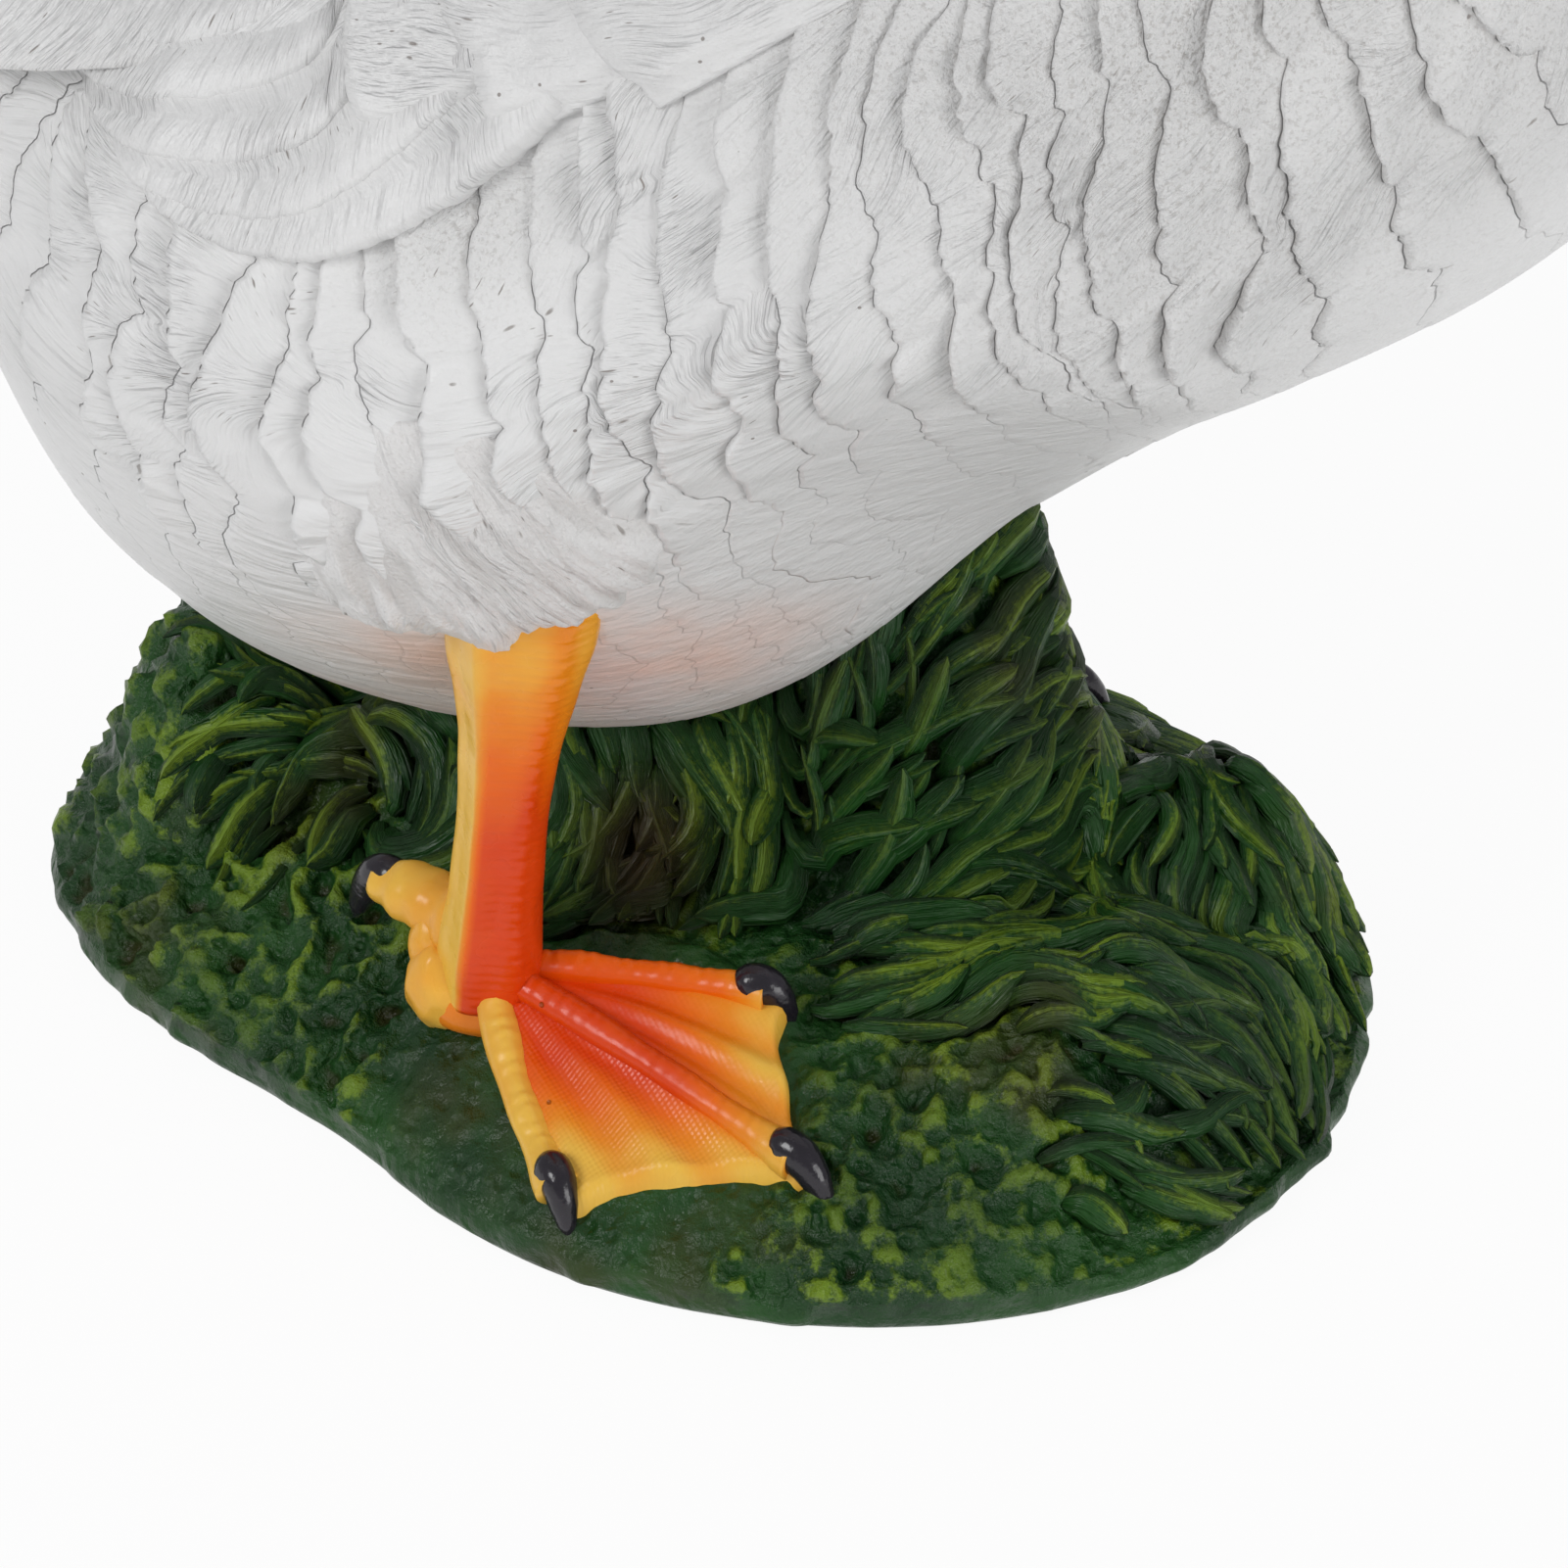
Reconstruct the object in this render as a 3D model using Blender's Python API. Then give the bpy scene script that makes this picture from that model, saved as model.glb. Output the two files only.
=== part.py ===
"""A goose statue cast in one piece: the bird, its webbed feet and the grassy mound under it.

Metres, +Z up. The goose faces -Y, its right side is at -X, and the origin is the centre of the
mound's flat underside. The work is laid out from a point under the belly and moved there at the
end. Places in the side view are given as (forward, height); forward is -Y.
"""

import math

import bmesh
import bpy
import numpy as np

# Body and neck from the rump to the head: forward, height, half width, depth to the back,
# depth to the belly, and how far the lower half narrows to a keel
BODY_STATIONS = (
    (-0.0980, 0.1260, 0.0040, 0.0040, 0.0040, 0.00),
    (-0.0900, 0.1240, 0.0265, 0.0220, 0.0200, 0.05),
    (-0.0740, 0.1150, 0.0345, 0.0350, 0.0280, 0.38),
    (-0.0500, 0.1080, 0.0511, 0.0460, 0.0611, 0.42),
    (-0.0200, 0.1069, 0.0572, 0.0520, 0.0711, 0.58),
    (0.0100, 0.1191, 0.0566, 0.0540, 0.0529, 0.58),
    (0.0380, 0.1412, 0.0580, 0.0520, 0.0509, 0.08),
    (0.0590, 0.1590, 0.0484, 0.0470, 0.0534, 0.10),
    (0.0770, 0.1833, 0.0391, 0.0370, 0.0449, 0.00),
    (0.0880, 0.2120, 0.0285, 0.0280, 0.0310, 0.00),
    (0.0930, 0.2400, 0.0215, 0.0215, 0.0215, 0.00),
    (0.0955, 0.2660, 0.0180, 0.0180, 0.0180, 0.00),
    (0.0980, 0.2880, 0.0172, 0.0172, 0.0168, 0.00),
    (0.1030, 0.3050, 0.0185, 0.0180, 0.0165, 0.00),
    (0.1130, 0.3160, 0.0202, 0.0190, 0.0172, 0.00),
    (0.1260, 0.3190, 0.0190, 0.0175, 0.0160, 0.00),
    (0.1390, 0.3160, 0.0152, 0.0138, 0.0140, 0.00),
    (0.1480, 0.3120, 0.0085, 0.0080, 0.0080, 0.00),
)
HEAD_LENGTH = 0.0560
HEAD_RINGS = 7
BODY_SEGMENTS = 32

# Rows of carved feathers round the body, tips to the tail
ROW_COUNT = 17
ROW_START = 0.0130
ROW_PITCH = 0.0115
ROW_RELIEF = 0.0019
ROW_TIP = 0.0030
ROW_BOW = 0.0085
ROW_WAVES = 6
LIP_GAP = 0.0006
NECK_ROWS = 5
NECK_RELIEF = 0.0009

# Bill, upper and lower half: forward, height, half width, depth up, depth down
BILL_STATIONS = (
    (0.1310, 0.3130, 0.0095, 0.0120, 0.0040),
    (0.1400, 0.3120, 0.0138, 0.0150, 0.0040),
    (0.1500, 0.3080, 0.0130, 0.0125, 0.0034),
    (0.1620, 0.3040, 0.0120, 0.0090, 0.0028),
    (0.1740, 0.3005, 0.0108, 0.0062, 0.0026),
    (0.1820, 0.2980, 0.0078, 0.0044, 0.0040),
    (0.1860, 0.2960, 0.0026, 0.0018, 0.0026),
)
JAW_STATIONS = (
    (0.1330, 0.3100, 0.0090, 0.0026, 0.0065),
    (0.1430, 0.3085, 0.0116, 0.0026, 0.0072),
    (0.1550, 0.3045, 0.0108, 0.0022, 0.0056),
    (0.1670, 0.3008, 0.0094, 0.0020, 0.0042),
    (0.1760, 0.2982, 0.0064, 0.0018, 0.0030),
    (0.1800, 0.2970, 0.0018, 0.0010, 0.0014),
)
EYE_RADIUS = 0.0034
EYE_BACK = 0.0270
EYE_ANGLE = math.radians(72)
EYE_PROUD = 0.0011
NOSTRIL_LENGTH = 0.0050
NOSTRIL_RADIUS = 0.0011

# Folded wing. Long feathers laid on the body, from the flank up to the back: length along the body
# and degrees from the back for the tip, the same for the root, and the half width
WING_FEATHERS = (
    (0.0500, 63.5, 0.1200, 53.0, 0.0068),
    (0.0445, 61.5, 0.1130, 45.5, 0.0070),
    (0.0375, 58.0, 0.1040, 37.0, 0.0074),
    (0.0300, 53.5, 0.0960, 29.0, 0.0078),
    (0.0220, 51.0, 0.0890, 22.0, 0.0082),
    (0.0240, 38.0, 0.0840, 14.0, 0.0086),
)
WING_LIFT = 0.0022
WING_STEP = 0.0005
WING_CROWN = 0.0028
BEND_RADIUS = 0.0530
PLATE_DEPTH = 0.0017
PLATE_DEPTH_STEP = 0.00037
# Coverts: rows of short feathers over the roots of the long ones, up to the shoulder
COVERT_ROWS = 3
COVERT_START = 0.0900
COVERT_PITCH = 0.0220
COVERT_LENGTH = 0.0320
COVERT_LOW = 57.0
COVERT_LOW_STEP = 3.6
COVERT_TOP = 9.0
COVERT_LEAN = 0.0160
COVERT_LIFT = 0.0062
COVERT_SCALLOP = 0.0028
COVERT_SPAN = 0.0130
# Primaries that reach past the rump and rest on the tail
FLIGHT_COUNT = 3
FLIGHT_WIDTH = 0.0170
FLIGHT_THICKNESS = 0.0038
FLIGHT_SAG = 0.0060

# Tail fan
TAIL_COUNT = 7
TAIL_ROOT_FORWARD = -0.0760
TAIL_ROOT_HEIGHT = 0.1280
TAIL_LENGTH = 0.0660
TAIL_SPREAD = math.radians(46)
TAIL_RISE = math.radians(17)
TAIL_FEATHER_WIDTH = 0.0235
TAIL_FEATHER_THICKNESS = 0.0044

# Mound: a pebble-shaped rim given by harmonics of its radius, and a low dome
MOUND_RADIUS = 0.0682
MOUND_HARMONICS = ((1, 0.0064, 0.283), (2, 0.0093, -2.573), (3, 0.0041, 2.07), (4, 0.0019, 0.865),
                   (5, 0.0006, -1.402))
RIM_HEIGHT = 0.0034
DOME_HEIGHT = 0.0205
MOUND_SEGMENTS = 42
MOUND_RINGS = 12

# Grass clumps on the mound: sideways, forward, rise, half width, half length, heading
CLUMPS = (
    (0.0120, 0.0210, 0.0535, 0.0135, 0.0160, 0.20),
    (0.0060, -0.0120, 0.0200, 0.0140, 0.0300, 0.00),
    (0.0200, 0.0555, 0.0130, 0.0120, 0.0165, 0.60),
    (0.0120, -0.0630, 0.0190, 0.0130, 0.0150, -0.50),
    (-0.0180, 0.0500, 0.0070, 0.0100, 0.0200, 0.90),
    (0.0480, -0.0300, 0.0080, 0.0140, 0.0180, 0.30),
)
BLADE_COUNT = 8
BLADE_LENGTH = 0.0140
BLADE_RADIUS = 0.0032

# Feet: the right one, the left one being its mirror image moved a little
ANKLE_SIDE = 0.0300
ANKLE_FORWARD = -0.0180
HIP_SIDE = 0.0353
HIP_FORWARD = -0.0110
HIP_HEIGHT = 0.0780
SHANK_WIDTHS = (0.0052, 0.0056, 0.0050, 0.0046, 0.0048, 0.0054, 0.0062, 0.0064)
SHANK_DEPTHS = (0.0058, 0.0060, 0.0052, 0.0050, 0.0056, 0.0068, 0.0082, 0.0092)
SHANK_SHARES = (0.0, 0.10, 0.22, 0.45, 0.60, 0.72, 0.84, 1.0)
SHANK_RIDGE = math.radians(110)
FOOT_TURN = math.radians(21)
TOE_ANGLES = (math.radians(-24), math.radians(2), math.radians(36))
TOE_LENGTHS = (0.0318, 0.0435, 0.0270)
TOE_RADIUS = 0.0031
TOE_TIP_RADIUS = 0.0024
TOE_RISE = 0.0040
WEB_THICKNESS = 0.0018
WEB_REACH = 1.06
WEB_SCALLOP = 0.05
CLAW_LENGTH = 0.0072
CLAW_RADIUS = 0.0024
HALLUX_LENGTH = 0.0150
HALLUX_TURN = 0.42
LEFT_FOOT_SHIFT = (0.0040, 0.0070)

# Ragged feather hem over the top of the leg: length along the body, degrees from the back
HEM_CENTRE = 0.0850
HEM_HALF = 0.0165
HEM_ANGLE = 123.0
HEM_TOP = 88.0
HEM_JAG = 4.0
HEM_LIFT = 0.0030
HEM_COLUMNS = 8


def paint(name, colour, roughness, metallic=0.0):
    material = bpy.data.materials.new(name)
    material.use_nodes = True
    shader = material.node_tree.nodes["Principled BSDF"]
    shader.inputs["Base Color"].default_value = (*colour, 1.0)
    shader.inputs["Roughness"].default_value = roughness
    shader.inputs["Metallic"].default_value = metallic
    material.diffuse_color = (*colour, 1.0)
    return material


def smooth_track(stations, samples=600):
    """A Catmull-Rom track through the stations, with its length as the first column."""
    points = np.array(stations, float)
    before = 2 * points[0] - points[1]
    after = 2 * points[-1] - points[-2]
    padded = np.vstack((before, points, after))
    place = np.linspace(0, len(points) - 1 - 1e-9, samples)
    piece = place.astype(int)
    u = (place - piece)[:, None]
    a, b, c, d = (padded[piece + k] for k in range(4))
    track = 0.5 * (2 * b + (c - a) * u + (2 * a - 5 * b + 4 * c - d) * u ** 2
                   + (3 * b - a - 3 * c + d) * u ** 3)
    steps = np.hypot(np.diff(track[:, 0]), np.diff(track[:, 1]))
    length = np.concatenate(([0.0], np.cumsum(steps)))
    return np.column_stack((length, track))


BODY = smooth_track(BODY_STATIONS)
BODY_LENGTH = BODY[-1, 0]
BODY_PITCH = np.unwrap(np.arctan2(np.gradient(BODY[:, 2]), np.gradient(BODY[:, 1])))


def body_point(s, t, lift):
    """Place on the body at length s from the rump and angle t from the back, lifted off it."""
    forward, height, half, up, down, keel = (np.interp(s, BODY[:, 0], BODY[:, k]) for k in range(1, 7))
    pitch = np.interp(s, BODY[:, 0], BODY_PITCH)
    across, along = np.sin(t), np.cos(t)
    low = np.clip(-along, 0, 1)
    depth = np.where(along > 0, up, down)
    side = half * across * (1 - keel * low ** 1.3)
    rise = depth * along
    out_side, out_rise = across / half, along / depth
    scale = lift / np.hypot(out_side, out_rise)
    side, rise = side + out_side * scale, rise + out_rise * scale
    return np.stack((side, -(forward - np.sin(pitch) * rise), height + np.cos(pitch) * rise), -1)


def row_line(row, t):
    """Wavy tip line of one row of feathers."""
    wave = 0.6 * np.sin(ROW_WAVES * t + 2.4 * row) + 0.4 * np.sin((2 * ROW_WAVES - 1) * t + 1.7 * row)
    return ROW_START + row * ROW_PITCH + ROW_TIP * wave + ROW_BOW * np.cos(t) ** 2


def solid(name, rings, material, first=True, last=True):
    """Closed body through rings of equal point count; its ends are closed with fans."""
    rings = [np.asarray(ring, float) for ring in rings]
    count = len(rings[0])
    verts = np.vstack(rings).tolist()
    faces = []
    for i in range(len(rings) - 1):
        for j in range(count):
            k = (j + 1) % count
            a, b = i * count + j, i * count + k
            c, d = b + count, a + count
            faces += [(a, b, c), (a, c, d)]
    for end, ring in ((0, rings[0]), (len(rings) - 1, rings[-1])):
        centre = len(verts)
        verts.append(ring.mean(0).tolist())
        for j in range(count):
            k = (j + 1) % count
            faces.append((centre, end * count + j, end * count + k))
    return make(name, verts, faces, material)


def make(name, verts, faces, material):
    mesh = bpy.data.meshes.new(name)
    mesh.from_pydata(verts, [], faces)
    work = bmesh.new()
    work.from_mesh(mesh)
    bmesh.ops.recalc_face_normals(work, faces=work.faces)
    if work.calc_volume(signed=True) < 0:
        bmesh.ops.reverse_faces(work, faces=work.faces)
    work.to_mesh(mesh)
    work.free()
    mesh.materials.append(material)
    piece = bpy.data.objects.new(name, mesh)
    bpy.context.scene.collection.objects.link(piece)
    return piece


def body(material):
    t = np.linspace(0, 2 * math.pi, BODY_SEGMENTS, endpoint=False)
    rings = [body_point(np.full_like(t, 0.0), t, 0.0), body_point(np.full_like(t, 0.004), t, 0.0)]
    calm = 1 - 0.6 * np.clip(-np.cos(t), 0, 1) ** 2
    for row in range(ROW_COUNT):
        line = row_line(row, t)
        ends = min(1.0, 0.4 + 0.2 * row)
        rings.append(body_point(line - LIP_GAP / 2, t, 0.0))
        rings.append(body_point(line + LIP_GAP / 2, t, ROW_RELIEF * ends * calm))
    start = ROW_START + ROW_COUNT * ROW_PITCH + 0.004
    pitch = (BODY_LENGTH - HEAD_LENGTH - start) / NECK_ROWS
    for row in range(NECK_ROWS):
        calm_bow = ROW_BOW * 0.4 * (1 - row / NECK_ROWS)
        line = start + row * pitch + 0.0022 * np.sin(5 * t + 2.1 * row) + calm_bow * np.cos(t) ** 2
        rings.append(body_point(line - LIP_GAP / 2, t, 0.0))
        rings.append(body_point(line + LIP_GAP / 2, t, NECK_RELIEF))
    for s in np.linspace(BODY_LENGTH - HEAD_LENGTH + 0.006, BODY_LENGTH, HEAD_RINGS):
        rings.append(body_point(np.full_like(t, s), t, 0.0))
    return solid("goose_statue", rings, material)


def side_loft(name, stations, segments, rings, material, ease=1.0):
    """Closed body with upright oval sections along the goose's middle plane."""
    track = smooth_track(stations, 200)
    t = np.linspace(0, 2 * math.pi, segments, endpoint=False)
    out = []
    for s in np.linspace(0, track[-1, 0], rings):
        forward, height, half, up, down = (np.interp(s, track[:, 0], track[:, k]) for k in range(1, 6))
        rise = np.where(np.cos(t) > 0, up, down) * np.sign(np.cos(t)) * np.abs(np.cos(t)) ** ease
        out.append(np.stack((half * np.sin(t), np.full_like(t, -forward), height + rise), -1))
    return solid(name, out, material)


def frames(path):
    """Tangents of a path of points."""
    path = np.asarray(path, float)
    tangent = np.gradient(path, axis=0)
    return tangent / np.linalg.norm(tangent, axis=1)[:, None]


def tube(name, path, wide, tall, normal, segments, material, ridge=0.0, turn=0.0):
    """Closed body round a path; wide and tall are its half sizes across and along the normal."""
    path = np.asarray(path, float)
    tangent = frames(path)
    t = turn + np.linspace(0, 2 * math.pi, segments, endpoint=False)
    rings = []
    for point, way, a, b in zip(path, tangent, wide, tall):
        side = np.cross(way, normal)
        side /= np.linalg.norm(side)
        up = np.cross(side, way)
        crest = 1 + ridge * np.clip(np.cos(t - turn), 0, 1) ** 6
        rings.append(point + np.outer(a * np.sin(t) * crest, side) + np.outer(b * np.cos(t) * crest, up))
    return solid(name, rings, material)


def blade(name, root, tip, normal, width, thickness, material, sag=0.0, rings=6):
    """Leaf-shaped feather with a raised shaft, from root to tip."""
    root, tip, normal = (np.asarray(v, float) for v in (root, tip, normal))
    way = tip - root
    length = np.linalg.norm(way)
    way /= length
    side = np.cross(way, normal)
    side /= np.linalg.norm(side)
    up = np.cross(side, way)
    out = []
    for a in np.linspace(0, 1, rings):
        swell = min(1.0, 0.55 + 0.9 * a) * math.sqrt(max(0.0, 1 - max(0.0, (a - 0.62) / 0.385) ** 2))
        half = 0.5 * width * max(swell, 0.10)
        thick = thickness * (1 - 0.45 * a)
        middle = root + way * length * a - up * sag * math.sin(math.pi * a)
        out.append([middle + side * half, middle + side * half * 0.45 + up * thick * 0.45,
                    middle + up * thick * 0.62, middle - side * half * 0.45 + up * thick * 0.45,
                    middle - side * half, middle - up * thick * 0.5])
    return solid(name, out, material)


def plate(name, s, t, top, under, material):
    """Closed plate over the body's surface: grids of length and angle, lifted by top and under."""
    rows, columns = s.shape
    size = rows * columns
    verts = np.vstack((body_point(s, t, top).reshape(-1, 3), body_point(s, t, under).reshape(-1, 3)))
    faces = []
    for i in range(rows - 1):
        for j in range(columns - 1):
            a, b = i * columns + j, i * columns + j + 1
            c, d = b + columns, a + columns
            faces += [(a, b, c), (a, c, d), (a + size, c + size, b + size), (a + size, d + size, c + size)]
    loop = list(range(columns)) + [i * columns + columns - 1 for i in range(1, rows)]
    loop += [(rows - 1) * columns + j for j in range(columns - 2, -1, -1)]
    loop += [i * columns for i in range(rows - 2, 0, -1)]
    for k, a in enumerate(loop):
        b = loop[(k + 1) % len(loop)]
        faces += [(a, b, b + size), (a, b + size, a + size)]
    return make(name, verts.tolist(), faces, material)


def wing_feather(side, number, material):
    """One long feather laid on the body, its lower edge proud of the one below."""
    tip_s, tip_angle, root_s, root_angle, width = WING_FEATHERS[number]
    a = np.array((0.0, 0.10, 0.36, 1.0))[:, None]
    b = np.array((-1.0, -0.50, 1.0))[None, :]
    ds, dt = root_s - tip_s, math.radians(root_angle - tip_angle) * BEND_RADIUS
    length = math.hypot(ds, dt)
    half = width * np.array((0.30, 0.74, 1.0, 0.90))[:, None]
    # b runs from the lower edge at -1 to the edge towards the back at 1
    s = tip_s + ds * a + (dt / length) * half * b
    angle = tip_angle + (root_angle - tip_angle) * a - np.degrees((ds / length) * half * b / BEND_RADIUS)
    low = (1 - b) / 2
    top = WING_LIFT + WING_STEP * number + WING_CROWN * (low * 0.9 + 0.1) * np.ones_like(a)
    top = top * np.array((0.6, 1.0, 1.0, 0.95))[:, None]
    under = np.full_like(top, -PLATE_DEPTH - PLATE_DEPTH_STEP * number)
    return plate("wing_feather", s, side * np.radians(angle), top, under, material)


def covert_row(side, row, material):
    """One row of coverts with scalloped tips, from the flank up to the back."""
    columns = 8
    low = COVERT_LOW + COVERT_LOW_STEP * row
    angle = np.linspace(low, COVERT_TOP, columns)[None, :]
    across = np.radians(low - angle) * BEND_RADIUS
    scallop = np.abs(np.sin(across * math.pi / COVERT_SPAN + row * 1.3)) ** 0.7 * COVERT_SCALLOP
    lean = (low - angle) / 50.0 * -COVERT_LEAN
    tips = COVERT_START + COVERT_PITCH * row + lean - scallop
    roots = COVERT_START + COVERT_PITCH * row + COVERT_LENGTH + lean
    a = np.array((0.0, 0.10, 1.0))[:, None]
    s = tips + (roots - tips) * a
    last = row == COVERT_ROWS - 1
    end = 0.0 if last else 0.55
    rim = np.clip((low - angle) / 3.0, 0.35, 1)
    top = (COVERT_LIFT - 0.0005 * row) * rim * np.array((0.6, 1.0, end))[:, None]
    top, angle = np.broadcast_arrays(top, angle)
    under = np.full_like(s, -2.4 * PLATE_DEPTH - PLATE_DEPTH_STEP * row)
    return plate("coverts", s, side * np.radians(angle), top, under, material)


def wing(side, material):
    """Folded wing: long feathers, the rows of coverts over them and the primaries behind."""
    pieces = [wing_feather(side, number, material) for number in range(len(WING_FEATHERS))]
    pieces += [covert_row(side, row, material) for row in range(COVERT_ROWS)]
    for k in range(FLIGHT_COUNT):
        share = k / (FLIGHT_COUNT - 1)
        root = body_point(np.array(0.0950), np.array(side * math.radians(44 - 29 * share)), np.array(0.0020))
        tip = np.array((side * (0.0290 - 0.0190 * share), 0.0980 + 0.0250 * share, 0.1335 + 0.0130 * share))
        normal = (side * (0.60 - 0.45 * share), 0.10, 0.80 + 0.20 * share)
        pieces.append(blade("flight", root, tip, normal, FLIGHT_WIDTH, FLIGHT_THICKNESS, material,
                            FLIGHT_SAG * share))
    return pieces


def hem(side, shift, material):
    """Ragged edge of the belly feathers over the top of the leg."""
    u = np.linspace(-1, 1, HEM_COLUMNS)[None, :]
    v = np.array((0.0, 0.12, 1.0))[:, None]
    jag = HEM_JAG * np.where(np.arange(HEM_COLUMNS) % 2 == 0, 1.0, 0.0)[None, :]
    low = HEM_ANGLE - jag - 6.0 * np.abs(u) ** 2.4
    angle = low + (HEM_TOP + 8.0 * u ** 2 - low) * v
    s = HEM_CENTRE - shift[1] * 0.4 + HEM_HALF * u * (1 - 0.15 * v) + 0.0 * angle
    swell = np.sqrt(np.clip(1 - u ** 2, 0, 1))
    top = HEM_LIFT * swell * np.array((0.7, 1.0, 0.0))[:, None] - 0.0003 * (1 - swell)
    return plate("hem", s, side * np.radians(angle), top, np.full_like(s, -0.0020), material)


def tail(material):
    pieces = []
    for k in range(TAIL_COUNT):
        share = 2 * k / (TAIL_COUNT - 1) - 1
        angle = 0.5 * TAIL_SPREAD * share
        length = TAIL_LENGTH * (1 - 0.12 * share ** 2)
        drop = 0.0040 * share ** 2 + 0.0006 * (k % 2)
        root = (0.016 * share, -TAIL_ROOT_FORWARD, TAIL_ROOT_HEIGHT - drop)
        tip = (root[0] + length * math.sin(angle),
               root[1] + length * math.cos(angle) * math.cos(TAIL_RISE),
               root[2] + length * math.sin(TAIL_RISE) - 2 * drop)
        normal = (0.35 * share, -math.sin(TAIL_RISE), math.cos(TAIL_RISE))
        pieces.append(blade("tail", root, tip, normal, TAIL_FEATHER_WIDTH, TAIL_FEATHER_THICKNESS,
                            material))
    return pieces


def rim_radius(angle):
    radius = np.full_like(np.asarray(angle, float), MOUND_RADIUS)
    for count, size, phase in MOUND_HARMONICS:
        radius = radius + size * np.cos(count * angle + phase)
    return radius


def dome(x, y):
    """Smooth top of the mound, without grass."""
    angle = np.arctan2(y, x)
    share = np.hypot(x, y) / rim_radius(angle)
    return RIM_HEIGHT + DOME_HEIGHT * np.clip(1 - share ** 2, 0, 1) ** 0.85


def near_foot(x, y):
    """1 under and round the feet, 0 away from them, so that they stand on calm ground."""
    calm = np.zeros_like(np.asarray(x, float))
    for side, shift in ((-1, (0.0, 0.0)), (1, LEFT_FOOT_SHIFT)):
        foot_x = side * (ANKLE_SIDE + shift[0] + 0.012)
        foot_y = -(ANKLE_FORWARD + shift[1] + 0.014)
        reach = np.hypot((x - foot_x) / 0.027, (y - foot_y) / 0.032)
        calm = np.maximum(calm, np.clip(1.7 - reach, 0, 1))
    return calm * calm * (3 - 2 * calm)


def grass(x, y):
    """Height of the modelled grass over the dome."""
    rise = np.zeros_like(np.asarray(x, float))
    for side, forward, tall, half, length, heading in CLUMPS:
        dx, dy = x - side, -y - forward
        along = dx * math.sin(heading) + dy * math.cos(heading)
        over = dx * math.cos(heading) - dy * math.sin(heading)
        share = np.hypot(over / half, along / length)
        rise = np.maximum(rise, tall * np.clip(1 - share ** 2 / 2.6, 0, 1) ** 1.5)
    comb = np.sin(330 * x + 5 * np.sin(60 * y)) * np.sin(150 * y + 4 * np.sin(75 * x))
    return rise * (1 + 0.10 * comb) + 0.0011 * (1 + comb) * (1 - near_foot(x, y))


def ground(x, y):
    share = np.hypot(x, y) / rim_radius(np.arctan2(y, x))
    edge = np.clip((1 - share) / 0.14, 0, 1)
    return dome(x, y) + grass(x, y) * edge * (1 - 0.85 * near_foot(x, y))


def mound(material):
    t = np.linspace(0, 2 * math.pi, MOUND_SEGMENTS, endpoint=False)
    rim = rim_radius(t)
    flat = [np.stack((rim * share * np.cos(t), rim * share * np.sin(t), np.full_like(t, height)), -1)
            for share, height in ((0.975, 0.0), (1.0, 0.0010), (1.0, RIM_HEIGHT * 0.75))]
    tops = []
    for share in np.linspace(0.985, 0.05, MOUND_RINGS):
        x, y = rim * share * np.cos(t), rim * share * np.sin(t)
        tops.append(np.stack((x, y, ground(x, y)), -1))
    piece = solid("mound", flat + tops, material)
    return piece


def blades(material):
    """Thick grass blades that lean out of the clumps."""
    pieces = []
    for k in range(BLADE_COUNT):
        side, forward, tall, half, length, heading = CLUMPS[k % 3]
        turn = 2.399963 * k
        reach = 0.20 + 0.4 * ((k * 0.618034) % 1.0)
        x = side + half * reach * math.cos(turn)
        y = -(forward + length * reach * math.sin(turn))
        base = float(ground(np.array(x), np.array(y)))
        lean = np.array((math.cos(turn) * 0.30, -math.sin(turn) * 0.30 - 0.10, 0.0))
        size = BLADE_LENGTH * (0.7 + 0.5 * ((k * 0.7548777) % 1.0))
        path = []
        for a in np.linspace(0, 1, 4):
            path.append((x + lean[0] * size * a ** 1.6, y + lean[1] * size * a ** 1.6,
                         base - 0.006 + (size * 0.75) * a * (1 - 0.28 * a)))
        wide = BLADE_RADIUS * np.array((1.0, 0.95, 0.65, 0.12))
        out = np.array((math.cos(turn), -math.sin(turn), 0.05))
        pieces.append(tube("blade", path, wide, wide * 0.7, out, 4, material))
    return pieces


def underside_centre():
    """Middle of the area inside the rim."""
    t = np.linspace(0, 2 * math.pi, 720, endpoint=False)
    radius = rim_radius(t)
    area = np.sum(radius ** 2) / 2
    middle = radius ** 3 / 3 / area
    return float(np.sum(middle * np.cos(t))), float(np.sum(middle * np.sin(t)))


def foot_frame(side, shift):
    ankle = np.array((side * (ANKLE_SIDE + shift[0]), -(ANKLE_FORWARD + shift[1])))
    return ankle, side


def toe_line(side, shift, angle, length, shares):
    """Ground plan of one toe."""
    ankle, _ = foot_frame(side, shift)
    heading = FOOT_TURN + angle
    way = np.array((side * math.sin(heading), -math.cos(heading)))
    bend = np.array((-way[1], way[0])) * math.sin(angle) * side * 0.0015
    shares = np.asarray(shares, float)
    return ankle + np.outer(shares * length, way) + np.outer(np.sin(math.pi * shares), bend)


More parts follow.
